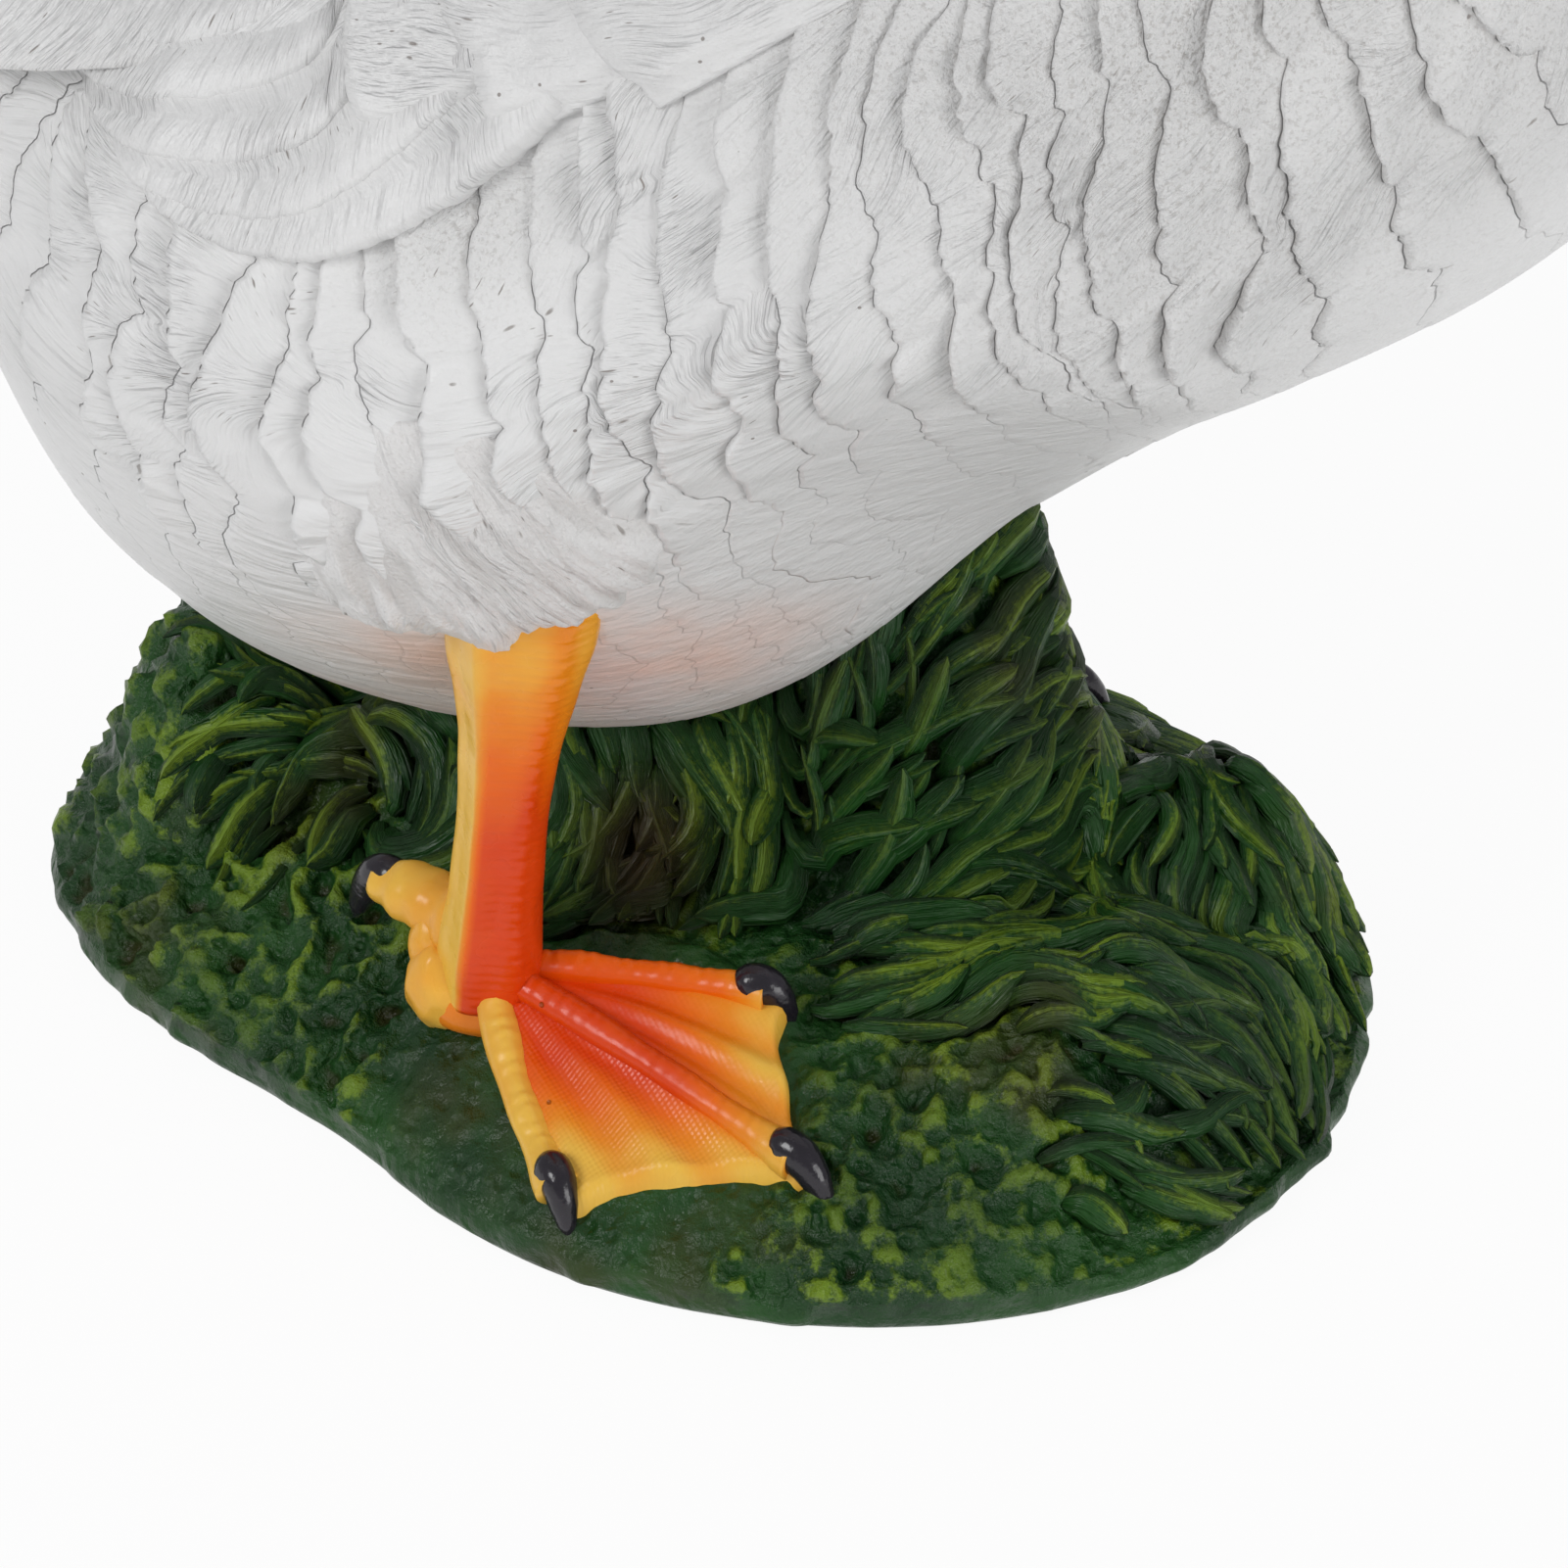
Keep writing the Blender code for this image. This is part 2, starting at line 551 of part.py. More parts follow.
def foot(side, shift, skin, horn):
    """Shank, three front toes with their webs, the hind toe and the claws."""
    ankle, _ = foot_frame(side, shift)
    ankle_z = float(ground(ankle[0], ankle[1]))
    pieces = []
    hip = np.array((side * (HIP_SIDE + shift[0] * 0.4), -(HIP_FORWARD + shift[1] * 0.4), HIP_HEIGHT))
    low = np.array((ankle[0], ankle[1], ankle_z + 0.0035))
    path = low + np.outer(SHANK_SHARES, hip - low)
    pieces.append(tube("shank", path, SHANK_WIDTHS, SHANK_DEPTHS, np.array((0.0, -1.0, 0.0)), 9, skin,
                       ridge=0.20, turn=side * SHANK_RIDGE))

    toes = []
    shares = np.linspace(0, 1, 7)
    beads = 1 + 0.13 * np.cos(2 * math.pi * 3 * shares)
    for angle, length in zip(TOE_ANGLES, TOE_LENGTHS):
        plan = toe_line(side, shift, angle, length, shares)
        radius = (TOE_RADIUS + (TOE_TIP_RADIUS - TOE_RADIUS) * shares) * beads
        height = ground(plan[:, 0], plan[:, 1]) + radius * 0.55 + TOE_RISE * (1 - shares) ** 3
        path = np.column_stack((plan, height))
        toes.append(plan)
        pieces.append(tube("toe", path, radius, radius * 1.05, np.array((0.0, 0.0, 1.0)), 7, skin,
                           ridge=0.14))
        pieces.append(claw(path[-2], path[-1], CLAW_LENGTH, horn))

    for first, second in ((0, 1), (1, 2)):
        pieces.append(web(side, shift, first, second, skin))

    back = np.array((-side * HALLUX_TURN, 0.92, 0.0))
    root = np.array((ankle[0], ankle[1], ankle_z + 0.0095))
    path = [root + back * HALLUX_LENGTH * a + np.array((0, 0, 0.0030 * a - 0.002 * a * a))
            for a in np.linspace(0, 1, 4)]
    radius = np.array((0.0040, 0.0041, 0.0033, 0.0027))
    pieces.append(tube("hallux", path, radius, radius, np.array((0.0, 0.0, 1.0)), 7, skin))
    pieces.append(claw(path[-2], path[-1], CLAW_LENGTH, horn))
    return pieces


def claw(before, end, length, material):
    before, end = np.asarray(before, float), np.asarray(end, float)
    way = (end - before) / np.linalg.norm(end - before)
    shares = np.linspace(0, 1, 4)
    path = [end - way * 0.0022 + way * length * 1.15 * a - np.array((0, 0, 0.0042)) * a ** 2.2 +
            np.array((0, 0, 0.0010)) * math.sin(math.pi * a) for a in shares]
    radius = CLAW_RADIUS * np.array((0.95, 0.95, 0.62, 0.14))
    return tube("claw", path, radius * 0.85, radius, np.array((0.0, 0.0, 1.0)), 6, material)


def web(side, shift, first, second, material):
    """Skin between two toes: a thin plate on the ground with a scalloped front edge."""
    rows, columns = 5, 5
    tops = []
    for i in range(rows):
        line = []
        for j in range(columns):
            p = j / (columns - 1)
            reach = 0.10 + (WEB_REACH - WEB_SCALLOP * math.sin(math.pi * p) - 0.10) * i / (rows - 1)
            a = toe_line(side, shift, TOE_ANGLES[first], TOE_LENGTHS[first], [reach])[0]
            b = toe_line(side, shift, TOE_ANGLES[second], TOE_LENGTHS[second], [reach])[0]
            place = a * (1 - p) + b * p
            line.append(place)
        tops.append(line)
    verts, faces = [], []
    for under in (False, True):
        for line in tops:
            for place in line:
                height = float(ground(place[0], place[1]))
                verts.append((place[0], place[1], height - 0.0030 if under else height + WEB_THICKNESS))
    size = rows * columns
    for i in range(rows - 1):
        for j in range(columns - 1):
            a, b = i * columns + j, i * columns + j + 1
            c, d = b + columns, a + columns
            faces += [(a, b, c), (a, c, d), (a + size, c + size, b + size), (a + size, d + size, c + size)]
    loop = [j for j in range(columns)]
    loop += [i * columns + columns - 1 for i in range(1, rows)]
    loop += [(rows - 1) * columns + j for j in range(columns - 2, -1, -1)]
    loop += [i * columns for i in range(rows - 2, 0, -1)]
    for k, a in enumerate(loop):
        b = loop[(k + 1) % len(loop)]
        faces += [(a, b, b + size), (a, b + size, a + size)]
    return make("web", verts, faces, material)


def eye(side, material):
    t = np.linspace(0, 2 * math.pi, 8, endpoint=False)
    centre = body_point(BODY_LENGTH - EYE_BACK, side * EYE_ANGLE, EYE_PROUD - EYE_RADIUS)
    rings = []
    for a in np.linspace(0.12, math.pi - 0.12, 6):
        r = EYE_RADIUS * math.sin(a)
        rings.append(np.stack((np.full_like(t, centre[0] - side * EYE_RADIUS * math.cos(a)),
                               centre[1] + r * np.sin(t), centre[2] + r * np.cos(t)), -1))
    return solid("eye", rings, material)


def nostril(side, material):
    """Cutter for one nostril."""
    track = smooth_track(BILL_STATIONS, 200)
    forward = 0.1530
    path = []
    for place in forward + NOSTRIL_LENGTH * (np.linspace(0, 1, 5) - 0.5):
        height = float(np.interp(place, track[:, 1], track[:, 2])) + 0.0098
        path.append(np.array((side * 0.0085, -place, height)))
    radius = NOSTRIL_RADIUS * np.array((0.3, 0.85, 1.0, 0.85, 0.3))
    return tube("nostril", path, radius * 2.2, radius, np.array((0.0, 0.0, 1.0)), 8, material)


def join(pieces, name):
    """One mesh that keeps every piece's own paint."""
    verts, faces, slots, materials = [], [], [], []
    for piece in pieces:
        mesh = piece.data
        if mesh.materials[0] not in materials:
            materials.append(mesh.materials[0])
        start = len(verts)
        verts += [tuple(v.co) for v in mesh.vertices]
        for face in mesh.polygons:
            faces.append(tuple(start + i for i in face.vertices))
            slots.append(materials.index(mesh.materials[0]))
        bpy.data.objects.remove(piece)
    mesh = bpy.data.meshes.new(name)
    mesh.from_pydata(verts, [], faces)
    for material in materials:
        mesh.materials.append(material)
    mesh.polygons.foreach_set("material_index", slots)
    piece = bpy.data.objects.new(name, mesh)
    bpy.context.scene.collection.objects.link(piece)
    return piece


def combine(target, other, operation):
    modifier = target.modifiers.new(operation.lower(), "BOOLEAN")
    modifier.operation = operation
    modifier.solver = "EXACT"
    modifier.use_self = True
    modifier.material_mode = "TRANSFER"
    modifier.object = other
    bpy.context.view_layer.update()
    evaluated = target.evaluated_get(bpy.context.evaluated_depsgraph_get())
    mesh = bpy.data.meshes.new_from_object(evaluated)
    target.modifiers.clear()
    target.data = mesh
    bpy.data.objects.remove(other)


def keep_outer_skin(mesh):
    """Fill closed pockets between the united pieces by removing their inner skins."""
    work = bmesh.new()
    work.from_mesh(mesh)
    bmesh.ops.triangulate(work, faces=work.faces)
    left, skins = set(work.faces), []
    while left:
        queue = [left.pop()]
        skin = list(queue)
        while queue:
            face = queue.pop()
            for edge in face.edges:
                for other in edge.link_faces:
                    if other in left:
                        left.remove(other)
                        queue.append(other)
                        skin.append(other)
        skins.append(skin)
    skins.sort(key=len)
    spare = [face for skin in skins[:-1] for face in skin]
    bmesh.ops.delete(work, geom=spare, context="FACES")
    work.to_mesh(mesh)
    work.free()
    return len(skins)


def main():
    for item in list(bpy.data.objects):
        bpy.data.objects.remove(item)
    white = paint("goose_white", (0.78, 0.77, 0.74), 0.42)
    orange = paint("goose_orange", (0.80, 0.22, 0.04), 0.35)
    green = paint("grass_green", (0.07, 0.17, 0.05), 0.62)
    black = paint("claw_black", (0.015, 0.012, 0.018), 0.22)

    statue = body(white)
    white_parts = wing(-1, white) + wing(1, white) + tail(white)
    colour_parts = [side_loft("bill", BILL_STATIONS, 14, 8, orange, 1.1),
                    side_loft("jaw", JAW_STATIONS, 12, 6, orange, 1.1)]
    colour_parts += foot(-1, (0.0, 0.0), orange, black) + foot(1, LEFT_FOOT_SHIFT, orange, black)
    colour_parts += [mound(green)] + blades(green) + [eye(-1, black), eye(1, black)]
    white_parts += [hem(-1, (0.0, 0.0), white), hem(1, LEFT_FOOT_SHIFT, white)]
    combine(statue, join(white_parts, "white_parts"), "UNION")
    combine(statue, join(colour_parts, "colour_parts"), "UNION")
    combine(statue, join([nostril(-1, black), nostril(1, black)], "nostrils"), "DIFFERENCE")

    keep_outer_skin(statue.data)
    centre = underside_centre()
    for vertex in statue.data.vertices:
        vertex.co.x -= centre[0]
        vertex.co.y -= centre[1]
    for face in statue.data.polygons:
        face.use_smooth = True
    statue.data.name = "goose_statue"


main()
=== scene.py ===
"""Dressed model of the goose statue: carved and hand-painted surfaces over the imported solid."""

import math

import bpy
import mathutils
import numpy as np
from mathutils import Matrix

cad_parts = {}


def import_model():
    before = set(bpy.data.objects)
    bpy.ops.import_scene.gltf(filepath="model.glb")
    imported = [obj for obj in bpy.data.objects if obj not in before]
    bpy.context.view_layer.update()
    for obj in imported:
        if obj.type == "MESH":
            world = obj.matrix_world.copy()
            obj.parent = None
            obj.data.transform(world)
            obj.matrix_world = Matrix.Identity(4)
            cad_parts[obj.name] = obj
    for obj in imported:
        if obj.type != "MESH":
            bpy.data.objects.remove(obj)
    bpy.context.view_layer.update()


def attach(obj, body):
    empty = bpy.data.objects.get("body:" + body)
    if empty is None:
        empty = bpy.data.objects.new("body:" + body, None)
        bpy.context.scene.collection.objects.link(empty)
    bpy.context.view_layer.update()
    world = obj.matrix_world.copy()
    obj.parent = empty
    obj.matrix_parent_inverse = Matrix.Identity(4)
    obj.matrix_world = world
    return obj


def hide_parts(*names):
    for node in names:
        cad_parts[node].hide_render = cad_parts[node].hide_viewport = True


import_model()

# Sizes shared with the solid, in metres

# Body and neck from the rump to the head: forward, height, half width, depth to the back, depth to
# the belly, and how far the lower half narrows to a keel
BODY_STATIONS = (
    (-0.0980, 0.1260, 0.0040, 0.0040, 0.0040, 0.00),
    (-0.0900, 0.1240, 0.0265, 0.0220, 0.0200, 0.05),
    (-0.0740, 0.1150, 0.0345, 0.0350, 0.0280, 0.38),
    (-0.0500, 0.1080, 0.0511, 0.0460, 0.0611, 0.42),
    (-0.0200, 0.1069, 0.0572, 0.0520, 0.0711, 0.58),
    (0.0100, 0.1191, 0.0566, 0.0540, 0.0529, 0.58),
    (0.0380, 0.1412, 0.0580, 0.0520, 0.0509, 0.08),
    (0.0590, 0.1590, 0.0484, 0.0470, 0.0534, 0.10),
    (0.0770, 0.1833, 0.0391, 0.0370, 0.0449, 0.00),
    (0.0880, 0.2120, 0.0285, 0.0280, 0.0310, 0.00),
    (0.0930, 0.2400, 0.0215, 0.0215, 0.0215, 0.00),
    (0.0955, 0.2660, 0.0180, 0.0180, 0.0180, 0.00),
    (0.0980, 0.2880, 0.0172, 0.0172, 0.0168, 0.00),
    (0.1030, 0.3050, 0.0185, 0.0180, 0.0165, 0.00),
    (0.1130, 0.3160, 0.0202, 0.0190, 0.0172, 0.00),
    (0.1260, 0.3190, 0.0190, 0.0175, 0.0160, 0.00),
    (0.1390, 0.3160, 0.0152, 0.0138, 0.0140, 0.00),
    (0.1480, 0.3120, 0.0085, 0.0080, 0.0080, 0.00),
)
# Both halves of the bill: forward, height, half width, depth up, depth down
BILL_STATIONS = (
    (0.1310, 0.3130, 0.0095, 0.0120, 0.0040),
    (0.1400, 0.3120, 0.0138, 0.0150, 0.0040),
    (0.1500, 0.3080, 0.0130, 0.0125, 0.0034),
    (0.1620, 0.3040, 0.0120, 0.0090, 0.0028),
    (0.1740, 0.3005, 0.0108, 0.0062, 0.0026),
    (0.1820, 0.2980, 0.0078, 0.0044, 0.0040),
    (0.1860, 0.2960, 0.0026, 0.0018, 0.0026),
)
JAW_STATIONS = (
    (0.1330, 0.3100, 0.0090, 0.0026, 0.0065),
    (0.1430, 0.3085, 0.0116, 0.0026, 0.0072),
    (0.1550, 0.3045, 0.0108, 0.0022, 0.0056),
    (0.1670, 0.3008, 0.0094, 0.0020, 0.0042),
    (0.1760, 0.2982, 0.0064, 0.0018, 0.0030),
    (0.1800, 0.2970, 0.0018, 0.0010, 0.0014),
)
EYE_RADIUS = 0.0034
EYE_BACK = 0.0270
EYE_ANGLE = math.radians(72)
EYE_PROUD = 0.0011
# Half length and half height of the ring round the eye, and half its thickness
RING_LENGTH = 0.0043
RING_HEIGHT = 0.0036
RING_THICKNESS = 0.00075
# Long wing feathers: place of the tip along the body, its angle from the back, the same for the
# root, and half the width
WING_FEATHERS = (
    (0.0500, 63.5, 0.1200, 53.0, 0.0068),
    (0.0445, 61.5, 0.1130, 45.5, 0.0070),
    (0.0375, 58.0, 0.1040, 37.0, 0.0074),
    (0.0300, 53.5, 0.0960, 29.0, 0.0078),
    (0.0220, 51.0, 0.0890, 22.0, 0.0082),
    (0.0240, 38.0, 0.0840, 14.0, 0.0086),
)
WING_LIFT = 0.0022
WING_STEP = 0.0005
WING_CROWN = 0.0028
BEND_RADIUS = 0.0530
COVERT_ROWS = 3
COVERT_START = 0.0900
COVERT_PITCH = 0.0220
COVERT_LENGTH = 0.0320
COVERT_LOW = 57.0
COVERT_LOW_STEP = 3.6
COVERT_TOP = 9.0
COVERT_LEAN = 0.0160
COVERT_LIFT = 0.0062
COVERT_SCALLOP = 0.0028
COVERT_SPAN = 0.0130
FLIGHT_COUNT = 3
FLIGHT_WIDTH = 0.0170
FLIGHT_THICKNESS = 0.0038
FLIGHT_SAG = 0.0060
TAIL_COUNT = 7
TAIL_ROOT_FORWARD = -0.0760
TAIL_ROOT_HEIGHT = 0.1280
TAIL_LENGTH = 0.0660
TAIL_SPREAD = math.radians(46)
TAIL_RISE = math.radians(17)
TAIL_FEATHER_WIDTH = 0.0235
TAIL_FEATHER_THICKNESS = 0.0044
# Outline of the mound: waves a turn, their size and their phase
MOUND_RADIUS = 0.0682
MOUND_HARMONICS = ((1, 0.0064, 0.283), (2, 0.0093, -2.573), (3, 0.0041, 2.07), (4, 0.0019, 0.865),
                   (5, 0.0006, -1.402))
RIM_HEIGHT = 0.0034
DOME_HEIGHT = 0.0205
# Clumps of grass: side, forward, height, half width, half length, heading
CLUMPS = (
    (0.0120, 0.0210, 0.0535, 0.0135, 0.0160, 0.20),
    (0.0060, -0.0120, 0.0200, 0.0140, 0.0300, 0.00),
    (0.0200, 0.0555, 0.0130, 0.0120, 0.0165, 0.60),
    (0.0120, -0.0630, 0.0190, 0.0130, 0.0150, -0.50),
    (-0.0180, 0.0500, 0.0070, 0.0100, 0.0200, 0.90),
    (0.0480, -0.0300, 0.0080, 0.0140, 0.0180, 0.30),
)
ANKLE_SIDE = 0.0300
ANKLE_FORWARD = -0.0180
HIP_SIDE = 0.0353
HIP_FORWARD = -0.0110
HIP_HEIGHT = 0.0780
SHANK_WIDTHS = (0.0052, 0.0056, 0.0050, 0.0046, 0.0048, 0.0054, 0.0062, 0.0064)
SHANK_DEPTHS = (0.0058, 0.0060, 0.0052, 0.0050, 0.0056, 0.0068, 0.0082, 0.0092)
SHANK_SHARES = (0.0, 0.10, 0.22, 0.45, 0.60, 0.72, 0.84, 1.0)
SHANK_RIDGE = math.radians(110)
# Lumps of the heel, from the ankle: outward, back and up, then three radii
HEEL_LUMPS = (
    (0.0012, 0.0048, 0.0030, 0.0040, 0.0042, 0.0056),
    (-0.0008, 0.0058, 0.0070, 0.0032, 0.0034, 0.0040),
    (-0.0005, 0.0012, 0.0012, 0.0058, 0.0062, 0.0044),
)
FOOT_TURN = math.radians(21)
TOE_NAMES = ("inner", "middle", "outer")
TOE_ANGLES = (math.radians(-24), math.radians(2), math.radians(36))
TOE_LENGTHS = (0.0318, 0.0435, 0.0270)
TOE_SLIMNESS = (0.62, 0.60, 0.66)
TOE_RADIUS = 0.0031
TOE_TIP_RADIUS = 0.0024
TOE_RISE = 0.0040
WEB_THICKNESS = 0.0018
WEB_REACH = 1.06
WEB_SCALLOP = 0.05
CLAW_LENGTH = 0.0072
CLAW_RADIUS = 0.0024
CLAW_DROOP = 0.0040
HIND_CLAW_DROOP = 0.0072
HALLUX_LENGTH = 0.0150
HALLUX_TURN = 0.42
LEFT_FOOT_SHIFT = (0.0040, 0.0070)
LEGS = ((-1, "right", (0.0, 0.0)), (1, "left", LEFT_FOOT_SHIFT))
HEM_CENTRE = 0.0850
HEM_HALF = 0.0165
HEM_ANGLE = 123.0
HEM_TOP = 88.0
HEM_LIFT = 0.0030

# Fine carving, with the widths of its columns on the near and the far side
ROW_PITCH = 0.0060
ROW_RELIEF = 0.0016
FINE_COLUMN = 0.00051
COARSE_COLUMN = 0.0015
ARC = 0.060
HEAD_RELIEF_SHARE = 0.6
# First and last row of feathers on the rear, the front and the neck
REAR_ROWS = (0, 19)
FRONT_ROWS = (19, 37)
NECK_ROWS = (37, 50)
# How far the hidden rims of the plates that lie on the body go below its surface
FEATHER_SUNK = -0.0016
PLATE_SUNK = -0.0020
PRIMARY_ROOT = 0.0950

# How points are set out over each kind of piece: rows, columns
NECK_COLUMNS = 160
HEAD_RINGS = 40
FEATHER_GRID = (104, 24)
COVERT_GRID = (30, 130)
HEM_GRID = (50, 100)
BLADE_GRID = (50, 22)
BILL_GRID = (80, 72)
JAW_GRID = (50, 48)
EYE_GRID = (20, 28)
EYE_RING_GRID = (44, 10)
SHANK_GRID = (130, 66)
HEEL_GRID = (26, 36)
CLAW_GRID = (30, 24)
TOE_GRID = (104, 28)
HALLUX_GRID = (40, 28)
WEB_GRID = (80, 60)
MOUND_GRID = (150, 500)

UPWARD = np.array((0.0, 0.0, 1.0))

table = np.random.RandomState(11).rand(32, 32, 32)


def noise(x, y, z, seed=0, size=1.0):
    """Smooth value noise from 0 to 1."""
    p = [np.asarray(v, float) / size + 17.13 * (seed + 1) * k for v, k in ((x, 1), (y, 2), (z, 3))]
    p = np.broadcast_arrays(*p)
    base = [np.floor(v).astype(int) for v in p]
    frac = [v - b for v, b in zip(p, base)]
    frac = [f * f * (3 - 2 * f) for f in frac]
    total = 0.0
    for i in (0, 1):
        for j in (0, 1):
            for k in (0, 1):
                weight = ((frac[0] if i else 1 - frac[0]) * (frac[1] if j else 1 - frac[1])
                          * (frac[2] if k else 1 - frac[2]))
                total = total + weight * table[(base[0] + i) % 32, (base[1] + j) % 32, (base[2] + k) % 32]
    return total


def sway(x, y, z, seed, size=1.0):
    """The same noise round 0, from -0.5 to 0.5."""
    return noise(x, y, z, seed, size) - 0.5


def smooth(value, low, high):
    """0 below low, 1 above high, smooth between."""
    u = np.clip((np.asarray(value, float) - low) / (high - low), 0, 1)
    return u * u * (3 - 2 * u)


def bell(value, middle, width):
    return np.exp(-((value - middle) / width) ** 2)


def circle(count):
    """Angles once round, the last one short of the first."""
    return np.linspace(0, 2 * math.pi, count, endpoint=False)


def unit(vector):
    return vector / np.linalg.norm(vector)


def smooth_track(stations, samples=600):
    """A curve through the stations, each point with its length from the start put before it."""
    points = np.array(stations, float)
    before = 2 * points[0] - points[1]
    after = 2 * points[-1] - points[-2]
    padded = np.vstack((before, points, after))
    place = np.linspace(0, len(points) - 1 - 1e-9, samples)
    piece = place.astype(int)
    u = (place - piece)[:, None]
    a, b, c, d = (padded[piece + k] for k in range(4))
    track = 0.5 * (2 * b + (c - a) * u + (2 * a - 5 * b + 4 * c - d) * u ** 2
                   + (3 * b - a - 3 * c + d) * u ** 3)
    steps = np.hypot(np.diff(track[:, 0]), np.diff(track[:, 1]))
    length = np.concatenate(([0.0], np.cumsum(steps)))
    return np.column_stack((length, track))


BODY = smooth_track(BODY_STATIONS)
BODY_LENGTH = BODY[-1, 0]
BODY_PITCH = np.unwrap(np.arctan2(np.gradient(BODY[:, 2]), np.gradient(BODY[:, 1])))


def body_point(s, t, lift):
    """Place on the body at length s from the rump and angle t from the back, lifted off it."""
    forward, height, half, up, down, keel = (np.interp(s, BODY[:, 0], BODY[:, k]) for k in range(1, 7))
    pitch = np.interp(s, BODY[:, 0], BODY_PITCH)
    across, along = np.sin(t), np.cos(t)
    low = np.clip(-along, 0, 1)
    depth = np.where(along > 0, up, down)
    side = half * across * (1 - keel * low ** 1.3)
    rise = depth * along
    out_side, out_rise = across / half, along / depth
    scale = lift / np.hypot(out_side, out_rise)
    side, rise = side + out_side * scale, rise + out_rise * scale
    return np.stack((side, -(forward - np.sin(pitch) * rise), height + np.cos(pitch) * rise), -1)


def rim_radius(angle):
    radius = np.full_like(np.asarray(angle, float), MOUND_RADIUS)
    for count, size, phase in MOUND_HARMONICS:
        radius = radius + size * np.cos(count * angle + phase)
    return radius


def rim_share(x, y):
    """0 in the middle of the mound, 1 on its outline."""
    return np.hypot(x, y) / rim_radius(np.arctan2(y, x))


def underside_centre():
    t = circle(720)
    radius = rim_radius(t)
    area = np.sum(radius ** 2) / 2
    return np.array((float(np.sum(radius ** 3 * np.cos(t)) / 3 / area),
                     float(np.sum(radius ** 3 * np.sin(t)) / 3 / area), 0.0))


CENTRE = underside_centre()


def near_foot(x, y):
    calm = np.zeros_like(np.asarray(x, float))
    for side, word, shift in LEGS:
        foot_x = side * (ANKLE_SIDE + shift[0] + 0.012)
        foot_y = -(ANKLE_FORWARD + shift[1] + 0.014)
        reach = np.hypot((x - foot_x) / 0.027, (y - foot_y) / 0.032)
        calm = np.maximum(calm, np.clip(1.7 - reach, 0, 1))
    return calm * calm * (3 - 2 * calm)


def grass(x, y):
    """Height that the clumps and the combed grass add to the dome."""
    rise = np.zeros_like(np.asarray(x, float))
    for side, forward, tall, half, length, heading in CLUMPS:
        dx, dy = x - side, -y - forward
        along = dx * math.sin(heading) + dy * math.cos(heading)
        over = dx * math.cos(heading) - dy * math.sin(heading)
        share = np.hypot(over / half, along / length)
        rise = np.maximum(rise, tall * np.clip(1 - share ** 2 / 2.6, 0, 1) ** 1.5)
    comb = np.sin(330 * x + 5 * np.sin(60 * y)) * np.sin(150 * y + 4 * np.sin(75 * x))
    return rise * (1 + 0.10 * comb) + 0.0011 * (1 + comb) * (1 - near_foot(x, y))


def ground(x, y):
    share = rim_share(x, y)
    dome = RIM_HEIGHT + DOME_HEIGHT * np.clip(1 - share ** 2, 0, 1) ** 0.85
    edge = np.clip((1 - share) / 0.14, 0, 1)
    return dome + grass(x, y) * edge * (1 - 0.85 * near_foot(x, y))


# Materials

class Signal:
    """A value on its way between nodes, so that a material can be written as a formula."""

    def __init__(self, paint, socket):
        self.paint = paint
        self.socket = socket

    def __add__(self, other):
        return self.paint.math("ADD", self, other)

    def __sub__(self, other):
        return self.paint.math("SUBTRACT", self, other)

    def __rsub__(self, other):
        return self.paint.math("SUBTRACT", other, self)

    def __mul__(self, other):
        return self.paint.math("MULTIPLY", self, other)


